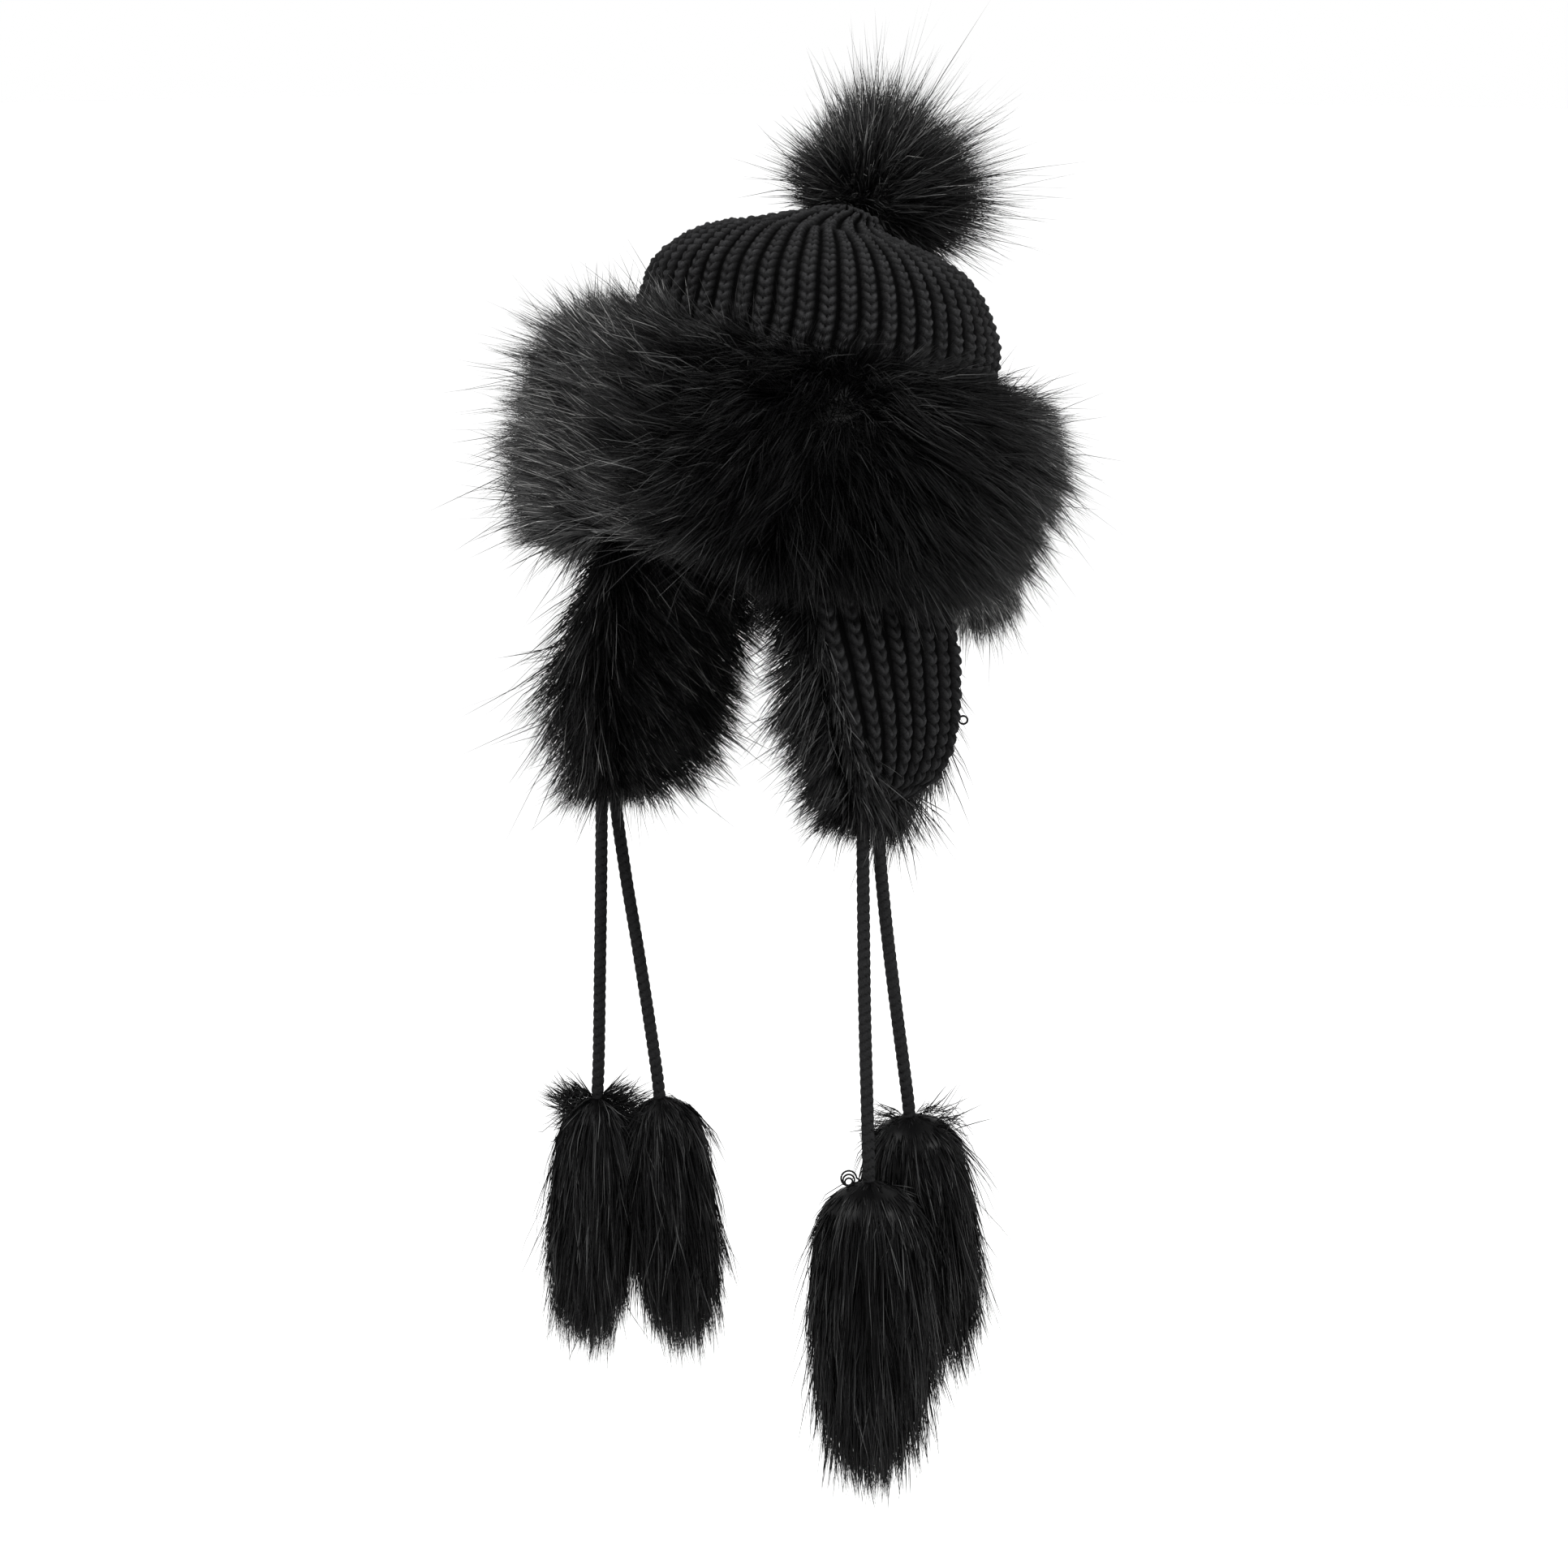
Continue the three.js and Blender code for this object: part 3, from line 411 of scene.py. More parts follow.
def grow(
    shape, rng, roots, ways, lengths, bends, width, clumps, pull,
    shade=1.0, wander=0.2, curl=0.1, longest=1.35,
):
    """Adds one hair for each root: a ribbon, pointed at both ends, that leans into its lock.

    ways is how a hair starts and bends how it turns by its tip. clumps is how many locks there
    are, wander how far a stray hair turns away, curl how unevenly locks and hairs bend, and longest how
    long a stray hair is at most, beside the hairs round it.
    """
    count = len(roots)
    leaders = rng.choice(count, clumps, replace=False)
    tree = KDTree(clumps)
    for k, leader in enumerate(leaders):
        tree.insert(roots[leader], k)
    tree.balance()
    lock = np.array([tree.find(root)[1] for root in roots])
    loose = rng.random(count) < STRAY_SHARE
    loose[leaders] = False
    lengths = np.where(loose, lengths * rng.uniform(STRAY_SHORTEST, longest, count), lengths)
    ways = unit(unit(ways) + np.where(loose[:, None], rng.normal(0, wander, (count, 3)), 0))
    bends = bends + curl * (rng.normal(0, 1, (clumps, 3))[lock] + rng.normal(0, OWN_CURL, (count, 3)))
    t = HAIR_STEPS[None, :, None]
    line = roots[:, None] + lengths[:, None, None] * (ways[:, None] * t + bends[:, None] * t**2)
    held = np.where(loose, 0, pull * rng.uniform(*UNEVEN_LEAN, count))[:, None, None]
    line = kept_near(line + held * t**LEAN_LATE * (line[leaders[lock]] - line))
    side = unit(np.cross(line[:, -1] - line[:, 0], rng.normal(0, 1, (count, 3))))
    half = 0.5 * width * rng.uniform(*UNEVEN_WIDTH, count)[:, None, None]
    edge = half * HAIR_WIDTHS[None, :, None] * side[:, None]
    body = np.stack([line[:, 1:3] - edge, line[:, 1:3] + edge], axis=2).reshape(count, 4, 3)
    points = np.concatenate([line[:, :1], body, line[:, 3:]], axis=1)
    first = HAIR_POINTS * np.arange(count)[:, None]
    ends = np.concatenate([first + [0, 1, 2], first + [3, 5, 4]])
    own = shade * (TONE_OF_ALL + TONE_OF_HAIR * rng.random(count) + TONE_OF_LOCK * rng.random(clumps)[lock])
    # Painted glints: a share of the hairs, and some strays, get a pale tone that stands in for highlights
    glint = rng.random(count) < GLINT_SHARE
    own = np.where(glint, (GLINT_TONE + GLINT_BY_SHADE * shade) * rng.uniform(*UNEVEN_GLINT, count), own)
    own = np.where(loose & (rng.random(count) < PALE_GLINT_SHARE), np.minimum(1, PALE_GLINT_TONE * shade), own)
    shape.add(points, [first + [1, 3, 4, 2], ends], (own[:, None] * PAINTED_LIGHT_ALONG[None]).ravel())


def add_tube(shape, path, radius, tones, sides=6, aslant=(0.31, 0.2, 0.93)):
    """A tube along a path, with closed ends. aslant is a direction in which the path never runs."""
    ahead = unit(np.gradient(path, axis=0))
    right = unit(np.cross(ahead, aslant))
    up = np.cross(right, ahead)
    angle = np.linspace(0, TURN, sides, endpoint=False)[None, :, None]
    rings = path[:, None] + radius * (np.cos(angle) * right[:, None] + np.sin(angle) * up[:, None])
    around = np.arange(sides)[None]
    ends = [around[:, ::-1], sides * (len(path) - 1) + around]
    shape.add(rings, [grid(len(path), sides, closed=True), *ends], tones)


# Cords

# A cord's sides, the points that its route is measured by, and how near to its solid's top its end is
CORD_SIDES, CORD_SAMPLES, END_WITHIN = 14, 400, 0.05
# Its two ropes: how far their loops lean, how thick the cord is between loops and how much thicker on one,
# and the valleys between the ropes
CORD_ROPES, CORD_LEAN, CORD_THIN, CORD_LOOP = 2, 0.5, 0.86, 0.2
VALLEY_DEPTH, VALLEY_HALF = 0.12, 0.25


def cord_exit(name):
    """The middle of the cord solid's upper end."""
    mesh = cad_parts["tie_cord_" + name].data
    points = np.array([v.co for v in mesh.vertices]) / MM
    return points[points[:, 2] > points[:, 2].max() - END_WITHIN].mean(axis=0)


def cord_route(name):
    """The route's points from the exit to the tassel, and the direction in which the tassel hangs."""
    route = cord_exit(name) + CORD_REACH * np.array(CORDS[name][0])
    return route, unit(route[-1] - route[-2])


def make_cord(name):
    """A crocheted cord: a tube whose surface rises and falls with its slanting stitches."""
    route, axis = cord_route(name)
    inside = CORDS[name][1] * TASSEL_LENGTH * CORD_IN_TASSEL
    knots = np.vstack([route] + [route[-1] + axis * inside * k for k in (0.25, 0.5, 0.75, 1)])
    rough = smooth_through(knots, np.linspace(0, 1, CORD_SAMPLES))
    far = np.concatenate([[0], np.cumsum(np.linalg.norm(np.diff(rough, axis=0), axis=1))])
    rings = round(far[-1] / (CORD_STITCH / ROWS_A_STITCH))
    at = np.linspace(0, far[-1], rings)
    path = np.stack([np.interp(at, far, rough[:, k]) for k in range(3)], axis=1)
    angle = np.linspace(0, TURN, CORD_SIDES, endpoint=False)
    place = np.mod(angle / TURN * CORD_ROPES, 1) * 2 - 1
    lean = np.mod(at[:, None] / CORD_STITCH + CORD_LEAN * np.abs(place), 1)
    loop = np.sqrt(np.clip(1 - (2 * lean - 1) ** 2, 0, 1))
    valley = 1 - VALLEY_DEPTH * hump(np.abs(place), 1, VALLEY_HALF)
    radius = CORD_DIAMETER / 2 * (CORD_THIN + CORD_LOOP * loop) * valley
    shape = Shape()
    # The tone falls between the cord's loops: painted shade in its grooves
    add_tube(shape, path, radius[..., None], (0.2 + 0.8 * loop).ravel(), CORD_SIDES, (0, 1, 0.2))
    piece = shape.piece("cord_" + name, YARN_CORD, "cord", "tie_cord_" + name)
    return piece, path, float(far[-1])


# Knit

# The tone of the knit's inner faces
PLAIN_TONE = 0.5


def crown_profile(at):
    """Height, half width, front, back and middle of the crown at places from 0, the rim, to 1, the tip."""
    rows = [
        (up * CROWN_HEIGHT, wide * OUTER_HALF_WIDTH, front * OUTER_HALF_DEPTH,
         back * OUTER_HALF_DEPTH, shift * OUTER_HALF_DEPTH)
        for up, wide, front, back, shift in CROWN_SECTIONS
    ]
    middle = PEAK_SHIFT * OUTER_HALF_DEPTH
    for up, wide in PEAK_SECTIONS:
        r = wide * PEAK_RADIUS
        rows.append((CROWN_HEIGHT + up * PEAK_HEIGHT, r, r, r, middle))
    rows.append((CROWN_HEIGHT + PEAK_HEIGHT, 0.0, 0.0, 0.0, middle))
    return smooth_through(rows, at)


def crown_surface(profile, angle, inward=0.0):
    """The crown's surface at rows of its profile and angles round it, or a surface inside that."""
    height, wide, front, back, middle = (column[:, None] for column in profile.T)
    deep = np.where(np.sin(angle)[None] < 0, front, back)
    x = np.maximum(wide - inward, 0) * np.cos(angle)
    y = middle + np.maximum(deep - inward, 0) * np.sin(angle)
    return np.stack([x, y, np.broadcast_to(height, x.shape)], axis=-1)


# How many points the crown's side is measured by
PROFILE_SAMPLES = 800


def even_rows(low, high, step):
    """Places on the crown's profile that are about step apart up its side, and how far up each is."""
    fine = np.linspace(low, high, PROFILE_SAMPLES)
    profile = crown_profile(fine)
    far = np.cumsum(np.linalg.norm(np.diff(profile[:, :2], axis=0), axis=1))
    far = np.concatenate([[0], far])
    at = np.linspace(0, far[-1], round(far[-1] / step) + 1)
    return np.interp(at, far, fine), at


# Where the crown's half width is under this, its ribs are gathered into fewer, thicker ones, over a short way
GATHERED_RIBS, GATHERED_WITHIN, GATHERED_OVER = 26, 42.0, 2.5
# At one angle the knit is drawn up toward the peak in a ridge: how high, at which half width of the crown,
# and how far that reaches
RIDGE_AT, RIDGE_RISE = math.radians(-62), 4.0
RIDGE_HALF, RIDGE_OVER = 22, 12
# How far a rib's stitches are shifted along it, how uneven stitches are, and the most that a rib has
CROWN_SHIFT, CROWN_UNEVEN, CROWN_MOST = 0.3, (0.78, 1.08), 80
# Points across a rib, where the outer and inner faces end below the tip, the step of the rows inside, and
# how far each face's last point stands above its last row
COLUMNS_A_RIB = 9
OUTER_END, INNER_END, INNER_STEP = 0.985, 0.86, 12.0
TIP_RISE, CEILING_RISE = 0.6, 1.0
# Under the fur, up to a share of the band's height, only one row in a few is kept
HIDDEN_UNDER_BAND, ONE_ROW_IN = 0.85, 8
# How much deeper than the solid's ribs the stitched ones are, how much of that is loops, where the ribs
# start to flatten toward the peak, down to which share, and how far they show inside
CROWN_DEEPER, CROWN_LOOPS = 1.25, 0.7
FLATTER_WITHIN, FLATTEST = 16, 0.3
INNER_RELIEF = 0.9


def crown_relief(count, angle, up, rng):
    """The relief of a number of ribs round the crown, no two of their stitches quite alike."""
    ribs = angle / TURN * count
    rib = np.round(ribs).astype(int) % count
    across = 2 * (np.mod(ribs + 0.5, 1) - 0.5)
    stitch = up[:, None] / CROWN_STITCH + rng.uniform(-CROWN_SHIFT, CROWN_SHIFT, count)[rib][None]
    uneven = rng.uniform(*CROWN_UNEVEN, (count, CROWN_MOST))[rib[None], np.floor(stitch).astype(int) + 1]
    return uneven * stitches(across[None], stitch, CROWN_LOOPS)


def make_crown():
    around = COLUMNS_A_RIB * RIB_COUNT
    angle = np.linspace(0, TURN, around, endpoint=False)
    across = 2 * (np.mod(angle / TURN * RIB_COUNT + 0.5, 1) - 0.5)
    rng = np.random.default_rng(3)
    rows, up = even_rows(0.0, OUTER_END, CROWN_STITCH / ROWS_A_STITCH)
    above_fur = crown_profile(rows)[:, 0] > HIDDEN_UNDER_BAND * BAND_HEIGHT
    shown = above_fur | (np.arange(len(rows)) % ONE_ROW_IN == 0)
    rows, up = rows[shown], up[shown]
    profile = crown_profile(rows)
    wide = profile[:, 1][:, None]
    gathered = 1 / (1 + np.exp((wide - GATHERED_WITHIN) / GATHERED_OVER))
    relief = crown_relief(RIB_COUNT, angle, up, rng) * (1 - gathered)
    relief = relief + crown_relief(GATHERED_RIBS, angle, up, rng) * gathered
    base = crown_surface(profile, angle)
    facing = np.clip(np.cos(angle - RIDGE_AT), 0, 1) ** 2
    base[..., 2] += RIDGE_RISE * hump(wide, RIDGE_HALF, RIDGE_OVER) * facing
    flatten = np.clip(wide / FLATTER_WITHIN, FLATTEST, 1)
    outer = base + normals_of(base, True) * (RIB_RELIEF * CROWN_DEEPER * flatten * relief)[..., None]
    below = crown_surface(crown_profile(even_rows(0.0, INNER_END, INNER_STEP)[0]), angle, KNIT_WALL)
    back_relief = INNER_RELIEF * (np.abs(across) ** 2)[None, :, None]
    inner = below + normals_of(below, True) * back_relief
    shape = Shape()
    turn = np.arange(around)
    # The relief is also the tone, so the crown's grooves get painted shade
    shape.add(pitched(outer), [grid(len(rows), around, closed=True)], relief.ravel())
    tip = outer[-1].mean(axis=0) + [0, 0, TIP_RISE]
    shape.close_ring((len(rows) - 1) * around + turn, pitched(tip))
    inside = shape.count
    shape.add(pitched(inner), [grid(len(inner), around, closed=True)[:, ::-1]], PLAIN_TONE)
    shape.join_rings(turn, inside + turn)
    ceiling = inner[-1].mean(axis=0) + [0, 0, CEILING_RISE]
    shape.close_ring(inside + (len(inner) - 1) * around + turn[::-1], pitched(ceiling))
    shape.piece("crown_knit", KNIT, "knit", "knit_crown")


def flap_surface(across, down, inset):
    """Places on the left ear flap: across 0 to 1 from front to rear, down 0 to 1 from the rim."""
    table = np.array(FLAP_ROWS)
    front = np.interp(down, table[:, 0], table[:, 1]) * FLAP_WIDTH
    rear = np.interp(down, table[:, 0], table[:, 2]) * FLAP_WIDTH
    y = FLAP_CENTRE_Y + front + (rear - front) * across
    flare = FLAP_FLARE * np.sin(0.5 * np.pi * np.minimum(1, down / FLARE_FULL_AT))
    wide, deep = OUTER_HALF_WIDTH + flare, OUTER_HALF_DEPTH + flare
    x = wide * np.sqrt(1 - (y / deep) ** 2)
    nx, ny = x / wide**2, y / deep**2
    size = np.hypot(nx, ny)
    x, y = x - nx / size * inset, y - ny / size * inset
    rim = -y * math.tan(HAT_PITCH) - GAP / math.cos(HAT_PITCH)
    return np.stack([x, y, rim + (-FLAP_DROP - rim) * down], axis=-1)


# A hoop of loose thread on the left flap's rear edge: how far down the flap it is, how far behind the edge
# and how far it goes round, half its width, height and depth, and half the thread's thickness
HOOP_DOWN, HOOP_BEHIND, HOOP_TURNS = 0.68, 3.0, 1.15
HOOP_WIDE, HOOP_TALL, HOOP_DEEP = 3.4, 2.0, 0.6
HOOP_THICK, HOOP_TONE = 0.55, 0.2
# The same for a flap, with its rows of points and its palest tone, which is below the crown's as painted
# shade
FLAP_COLUMNS_A_RIB, FLAP_ROW_COUNT = 10, 115
FLAP_DEEPER, FLAP_LOOPS, FLAP_SHADED_TONE = 1.5, 0.75, 0.86
FLAP_SHIFT, FLAP_UNEVEN, FLAP_MOST = 0.25, (0.8, 1.1), 40
# Its rolled edge: how far it is rounded off, within a share of the height, and a share of that inside
ROLL, ROLL_WITHIN, ROLL_ACROSS, ROLL_INSIDE = 2.2, 0.025, 0.7, 0.4


def make_flap(side, name):
    columns, rows = FLAP_COLUMNS_A_RIB * FLAP_RIBS + 1, FLAP_ROW_COUNT
    across, down = np.meshgrid(np.linspace(0, 1, columns), np.linspace(0, 1, rows))
    ribs = across * FLAP_RIBS
    place = 2 * (np.mod(ribs, 1) - 0.5)
    rng = np.random.default_rng(5)
    rib = np.floor(ribs).astype(int)
    start = rng.uniform(-FLAP_SHIFT, FLAP_SHIFT, FLAP_RIBS + 1)[rib]
    stitch = down * FLAP_DROP / FLAP_STITCH + start + 1
    uneven = rng.uniform(*FLAP_UNEVEN, (FLAP_RIBS + 1, FLAP_MOST))[rib, stitch.astype(int)]
    relief = uneven * stitches(place, -stitch, FLAP_LOOPS)
    edge = np.minimum(np.minimum(across, 1 - across) * ROLL_ACROSS, 1 - down)
    roll = ROLL * np.clip(1 - edge / ROLL_WITHIN, 0, 1) ** 2
    outer = flap_surface(across, down, roll - RIB_RELIEF * FLAP_DEEPER * relief)
    inner = flap_surface(across, down, KNIT_WALL - ROLL_INSIDE * roll)
    points = np.concatenate([outer.reshape(-1, 3), inner.reshape(-1, 3)])
    points[:, 0] *= side
    inside = rows * columns
    faces = grid(rows, columns)
    front, rear = np.arange(rows) * columns, np.arange(rows) * columns + columns - 1
    top, bottom = np.arange(columns), (rows - 1) * columns + np.arange(columns)

    def strip(line):
        return np.stack([line[:-1], line[1:], inside + line[1:], inside + line[:-1]], axis=1)

    quads = [faces[:, ::-1], inside + faces, strip(rear)[:, ::-1], strip(front)]
    quads += [strip(top)[:, ::-1], strip(bottom)]
    if side < 0:
        quads = [q[:, ::-1] for q in quads]
    shape = Shape()
    # The flap's tone follows its relief: painted shade in its grooves, and a little over the whole flap
    shape.add(points, quads, np.concatenate([FLAP_SHADED_TONE * relief.ravel(), np.full(inside, PLAIN_TONE)]))
    if side > 0:
        turn = np.linspace(0, HOOP_TURNS * TURN, 24)
        middle = flap_surface(np.ones(1), np.full(1, HOOP_DOWN), -1.0)[0] + [0, HOOP_BEHIND, 0]
        hoop = [-HOOP_DEEP * np.sin(turn), HOOP_WIDE * -np.cos(turn), HOOP_TALL * np.sin(turn)]
        add_tube(shape, middle + np.stack(hoop, axis=-1), HOOP_THICK, HOOP_TONE)
    piece = shape.piece(name, KNIT, "knit", "ear_" + name.replace("_knit", ""))


# Fur pieces

# By degrees from the front, to the wearer's left where positive: how much of its whole fall the band's
# lowest hair has
BAND_FALL_AT = [-180, -120, -90, -60, -30, 0, 30, 60, 90, 120, 180]
BAND_FALL = [1.0, 1.0, 0.8, 0.42, 0.1, 0.0, 0.4, 0.62, 0.8, 1.0, 1.0]
# The bed that its hair grows from: how full and how round it is, and how far off the crown
BED_FULL, BED_ROUND, BED_OFF = 0.85, 0.7, 1.5
BED_COLUMNS, BED_ROWS = 90, 16


def band_place(angle, share):
    """A place on the fur band's bed, and the level outward direction there, in the hat's frame."""
    out = BAND_BED * np.clip(np.sin(np.pi * share), 0, None) ** BED_ROUND * BED_FULL
    height = BAND_HEIGHT * (0.5 - 0.53 * np.cos(np.pi * share))
    grow_by = RIB_RELIEF + BED_OFF + out
    x = (OUTER_HALF_WIDTH + grow_by) * np.cos(angle)
    y = (OUTER_HALF_DEPTH + grow_by) * np.sin(angle)
    way = unit(np.stack([
        np.cos(angle) / OUTER_HALF_WIDTH,
        np.sin(angle) / OUTER_HALF_DEPTH,
        0 * angle,
    ], axis=-1))
    return np.stack([x, y, height], axis=-1), way


# Where, round the band, its hair is parted, and over how many degrees that shows. It sweeps away from
# there to both sides: how strongly, how soon, and how much it waves
PART_AT, PART_WIDTH = math.radians(-32), 25
SWEEP, SWEEP_SOON, SWEEP_WAVE = 0.85, 4, 0.12
# In degrees, where the band's low back, its arch over the face and its stretch of painted shade are, and how
# wide. The painted shade darkens the hair where it points at the viewer. The arch counts from the front, the
# others from the wearer's left
LOW_BACK_AT, LOW_BACK_WIDTH = 35, 55
FACE_AT, FACE_WIDTH, FACE_EDGE = -4, 23, 0.55
PAINTED_SHADE_AT, PAINTED_SHADE_UP, PAINTED_SHADE_WIDTH = -25, [0, 0.4, 1], [30, 42, 44]
# How far its hair rises from level, in degrees: the lowest, with what the arch adds and what the fall
# takes away, and the highest, with what the low back takes away
LOWEST, ARCH_ADDS, FALL_TAKES = 4, 50, 76
HIGHEST, LOW_BACK_TAKES = 74, 54
RISE_LATE, RISE_UNEVEN = 1.25, 7
# The waves in that rise: how high, and how often they come round the band and up it
RISE_WAVES = [(8, 5, 4), (6, 11, -7)]
# How long the hair is up the band, and how much shorter at the top and bottom of the low back, at the
# arch's edge and where it points down under the band
LENGTH_UP, LENGTH_SHARE = [0, 0.3, 0.75, 1], [0.85, 1, 1, 0.8]
SHORTER_TOP, SHORTER_BOTTOM, SHORTER_ARCH = 0.3, 0.28, 0.42
CORNER_AT, CORNER_WIDTH, SHORTER_CORNER = -45, 24, 0.5
# How far it droops: everywhere, at mid height, at the parting, and how much less at the arch's edge
DROOP, DROOP_MIDDLE, DROOP_PART, DROOP_LESS = 0.05, 0.22, 0.3, 0.8
# Its tone, how much darker painted shade makes it where its hair points at the viewer, and how much paler
# painted light makes the low back
BAND_TONE, PAINTED_SHADE_DARKER, BACK_PAINTED_LIGHT = 1.06, 0.9, 0.12
BAND_HAIRS = 43000


def make_band(name, first, last, seed):
    """One half of the band, round from one angle to another."""
    rng = np.random.default_rng(seed)
    shape = Shape()
    angle, share = np.meshgrid(np.linspace(first, last, BED_COLUMNS), np.linspace(0, 1, BED_ROWS))
    bed, _ = band_place(angle, share)
    shape.add(pitched(bed), [grid(BED_ROWS, BED_COLUMNS)])
    count = BAND_HAIRS
    angle = rng.uniform(first, last, count)
    share = rng.uniform(0.02, 0.98, count)
    roots, way = band_place(angle, share)
    degrees = np.mod(np.degrees(angle) + 180, 360) - 180
    off_front = np.mod(degrees + 270, 360) - 180
    fall = np.interp(off_front, BAND_FALL_AT, BAND_FALL)
    parted = hump(degrees, math.degrees(PART_AT), PART_WIDTH)
    low_back = hump(degrees, LOW_BACK_AT, LOW_BACK_WIDTH)
    over_face = hump(off_front, FACE_AT, FACE_WIDTH)
    low_edge = over_face * np.clip(1 - share / FACE_EDGE, 0, 1)
    lowest = LOWEST + ARCH_ADDS * over_face - FALL_TAKES * fall
    highest = HIGHEST - LOW_BACK_TAKES * low_back
    wave = sum(high * np.sin(often * angle + up * share) for high, often, up in RISE_WAVES)
    degrees_up = lowest + (highest - lowest) * share**RISE_LATE + wave + rng.normal(0, RISE_UNEVEN, count)
    rise = np.radians(degrees_up)
    sweep = SWEEP * np.tanh(SWEEP_SOON * np.sin(angle - PART_AT))
    around = np.stack([-way[:, 1], way[:, 0], 0 * angle], axis=-1)
    uneven = rng.normal(0, 1, count) * (0.12 + 0.2 * parted)
    sideways = sweep + SWEEP_WAVE * np.sin(7 * angle + 5 * share) + uneven
    up = np.array([0, 0, 1.0])
    ways = way * np.cos(rise)[:, None] + up * np.sin(rise)[:, None] + around * sideways[:, None]
    short = np.interp(share, LENGTH_UP, LENGTH_SHARE)
    short = short * (1 - low_back * (SHORTER_TOP * share**3 + SHORTER_BOTTOM * (1 - share) ** 3))
    short = short * (1 - SHORTER_ARCH * low_edge)
    corner = 1 - SHORTER_CORNER * fall * hump(degrees_up, CORNER_AT, CORNER_WIDTH)
    pile = (BAND_PILE - BED_FULL * BAND_BED) * short * corner * rng.normal(0.92, 0.12, count)
    pile *= np.sqrt(1 + sweep**2)
    droop = (-DROOP - DROOP_MIDDLE * np.sin(np.pi * share)) * (1 - DROOP_LESS * low_edge)
    bends = np.stack([0 * pile, 0 * pile, droop - DROOP_PART * parted], axis=-1)
    # Painted shade where the hair points at the viewer, and painted light on the low back
    dark = hump(degrees, PAINTED_SHADE_AT, np.interp(share, PAINTED_SHADE_UP, PAINTED_SHADE_WIDTH))
    shade = BAND_TONE - PAINTED_SHADE_DARKER * dark + BACK_PAINTED_LIGHT * low_back
    grow(
        shape, rng, pitched(roots), pitched(ways), pile, bends,
        width=0.52, clumps=950, pull=0.55, shade=shade, wander=0.28,
    )
    shape.piece(name, FUR, "fur", "fur_band")


def in_crown(points):
    """Whether places in the level frame are inside the crown."""
    c, s = math.cos(HAT_PITCH), math.sin(HAT_PITCH)
    x, y, z = points.T
    y, z = c * y - s * z, c * z + s * y
    profile = crown_profile(np.linspace(0.3, 1, 60))
    row = np.clip(np.searchsorted(profile[:, 0], z), 0, len(profile) - 1)
    _, wide, front, back, middle = profile[row].T
    deep = np.where(y < middle, front, back)
    flat = (x / np.maximum(wide, 1)) ** 2 + ((y - middle) / np.maximum(deep, 1)) ** 2
    return (flat < 1) & (z < profile[-1, 0])


# The pompom: its middle, where its hair starts, behind the crown's tip, and how far it reaches
# level and upright
POMPOM_MIDDLE = np.array([0, 88.0, 196.0])
POMPOM_SOURCE = np.array([0, 67.0, 179.0])
POMPOM_LEVEL, POMPOM_UPRIGHT = 57.0, 53.0
# Tufts that stand out of it: degrees round from the viewer's right, and how much longer they are
POMPOM_TUFTS = [(94, 0.32), (165, 0.08), (200, 0.1), (5, 0.1), (-28, 0.3), (128, -0.28), (48, -0.28)]
TUFT_WIDTH = 0.1
# The ball inside it, and how far from its hair's start, and how unevenly, the roots are
BALL_RADIUS, BALL_SIDES, BALL_ROWS, BALL_POLE = 15, 24, 13, 0.02
ROOTS_OUT, ROOTS_UNEVEN = 8, 2.5
# Over the crown's tip, toward the viewer and not steeply up, its hair is shorter
OVER_TIP_TOWARD, OVER_TIP_BELOW, OVER_TIP_SHARE = 0.3, 0.75, 0.35
# Hair that would go into the crown is shortened to this share, up to a number of times
CLEARED, CLEARINGS = 0.8, 14
POMPOM_HAIRS = 20000


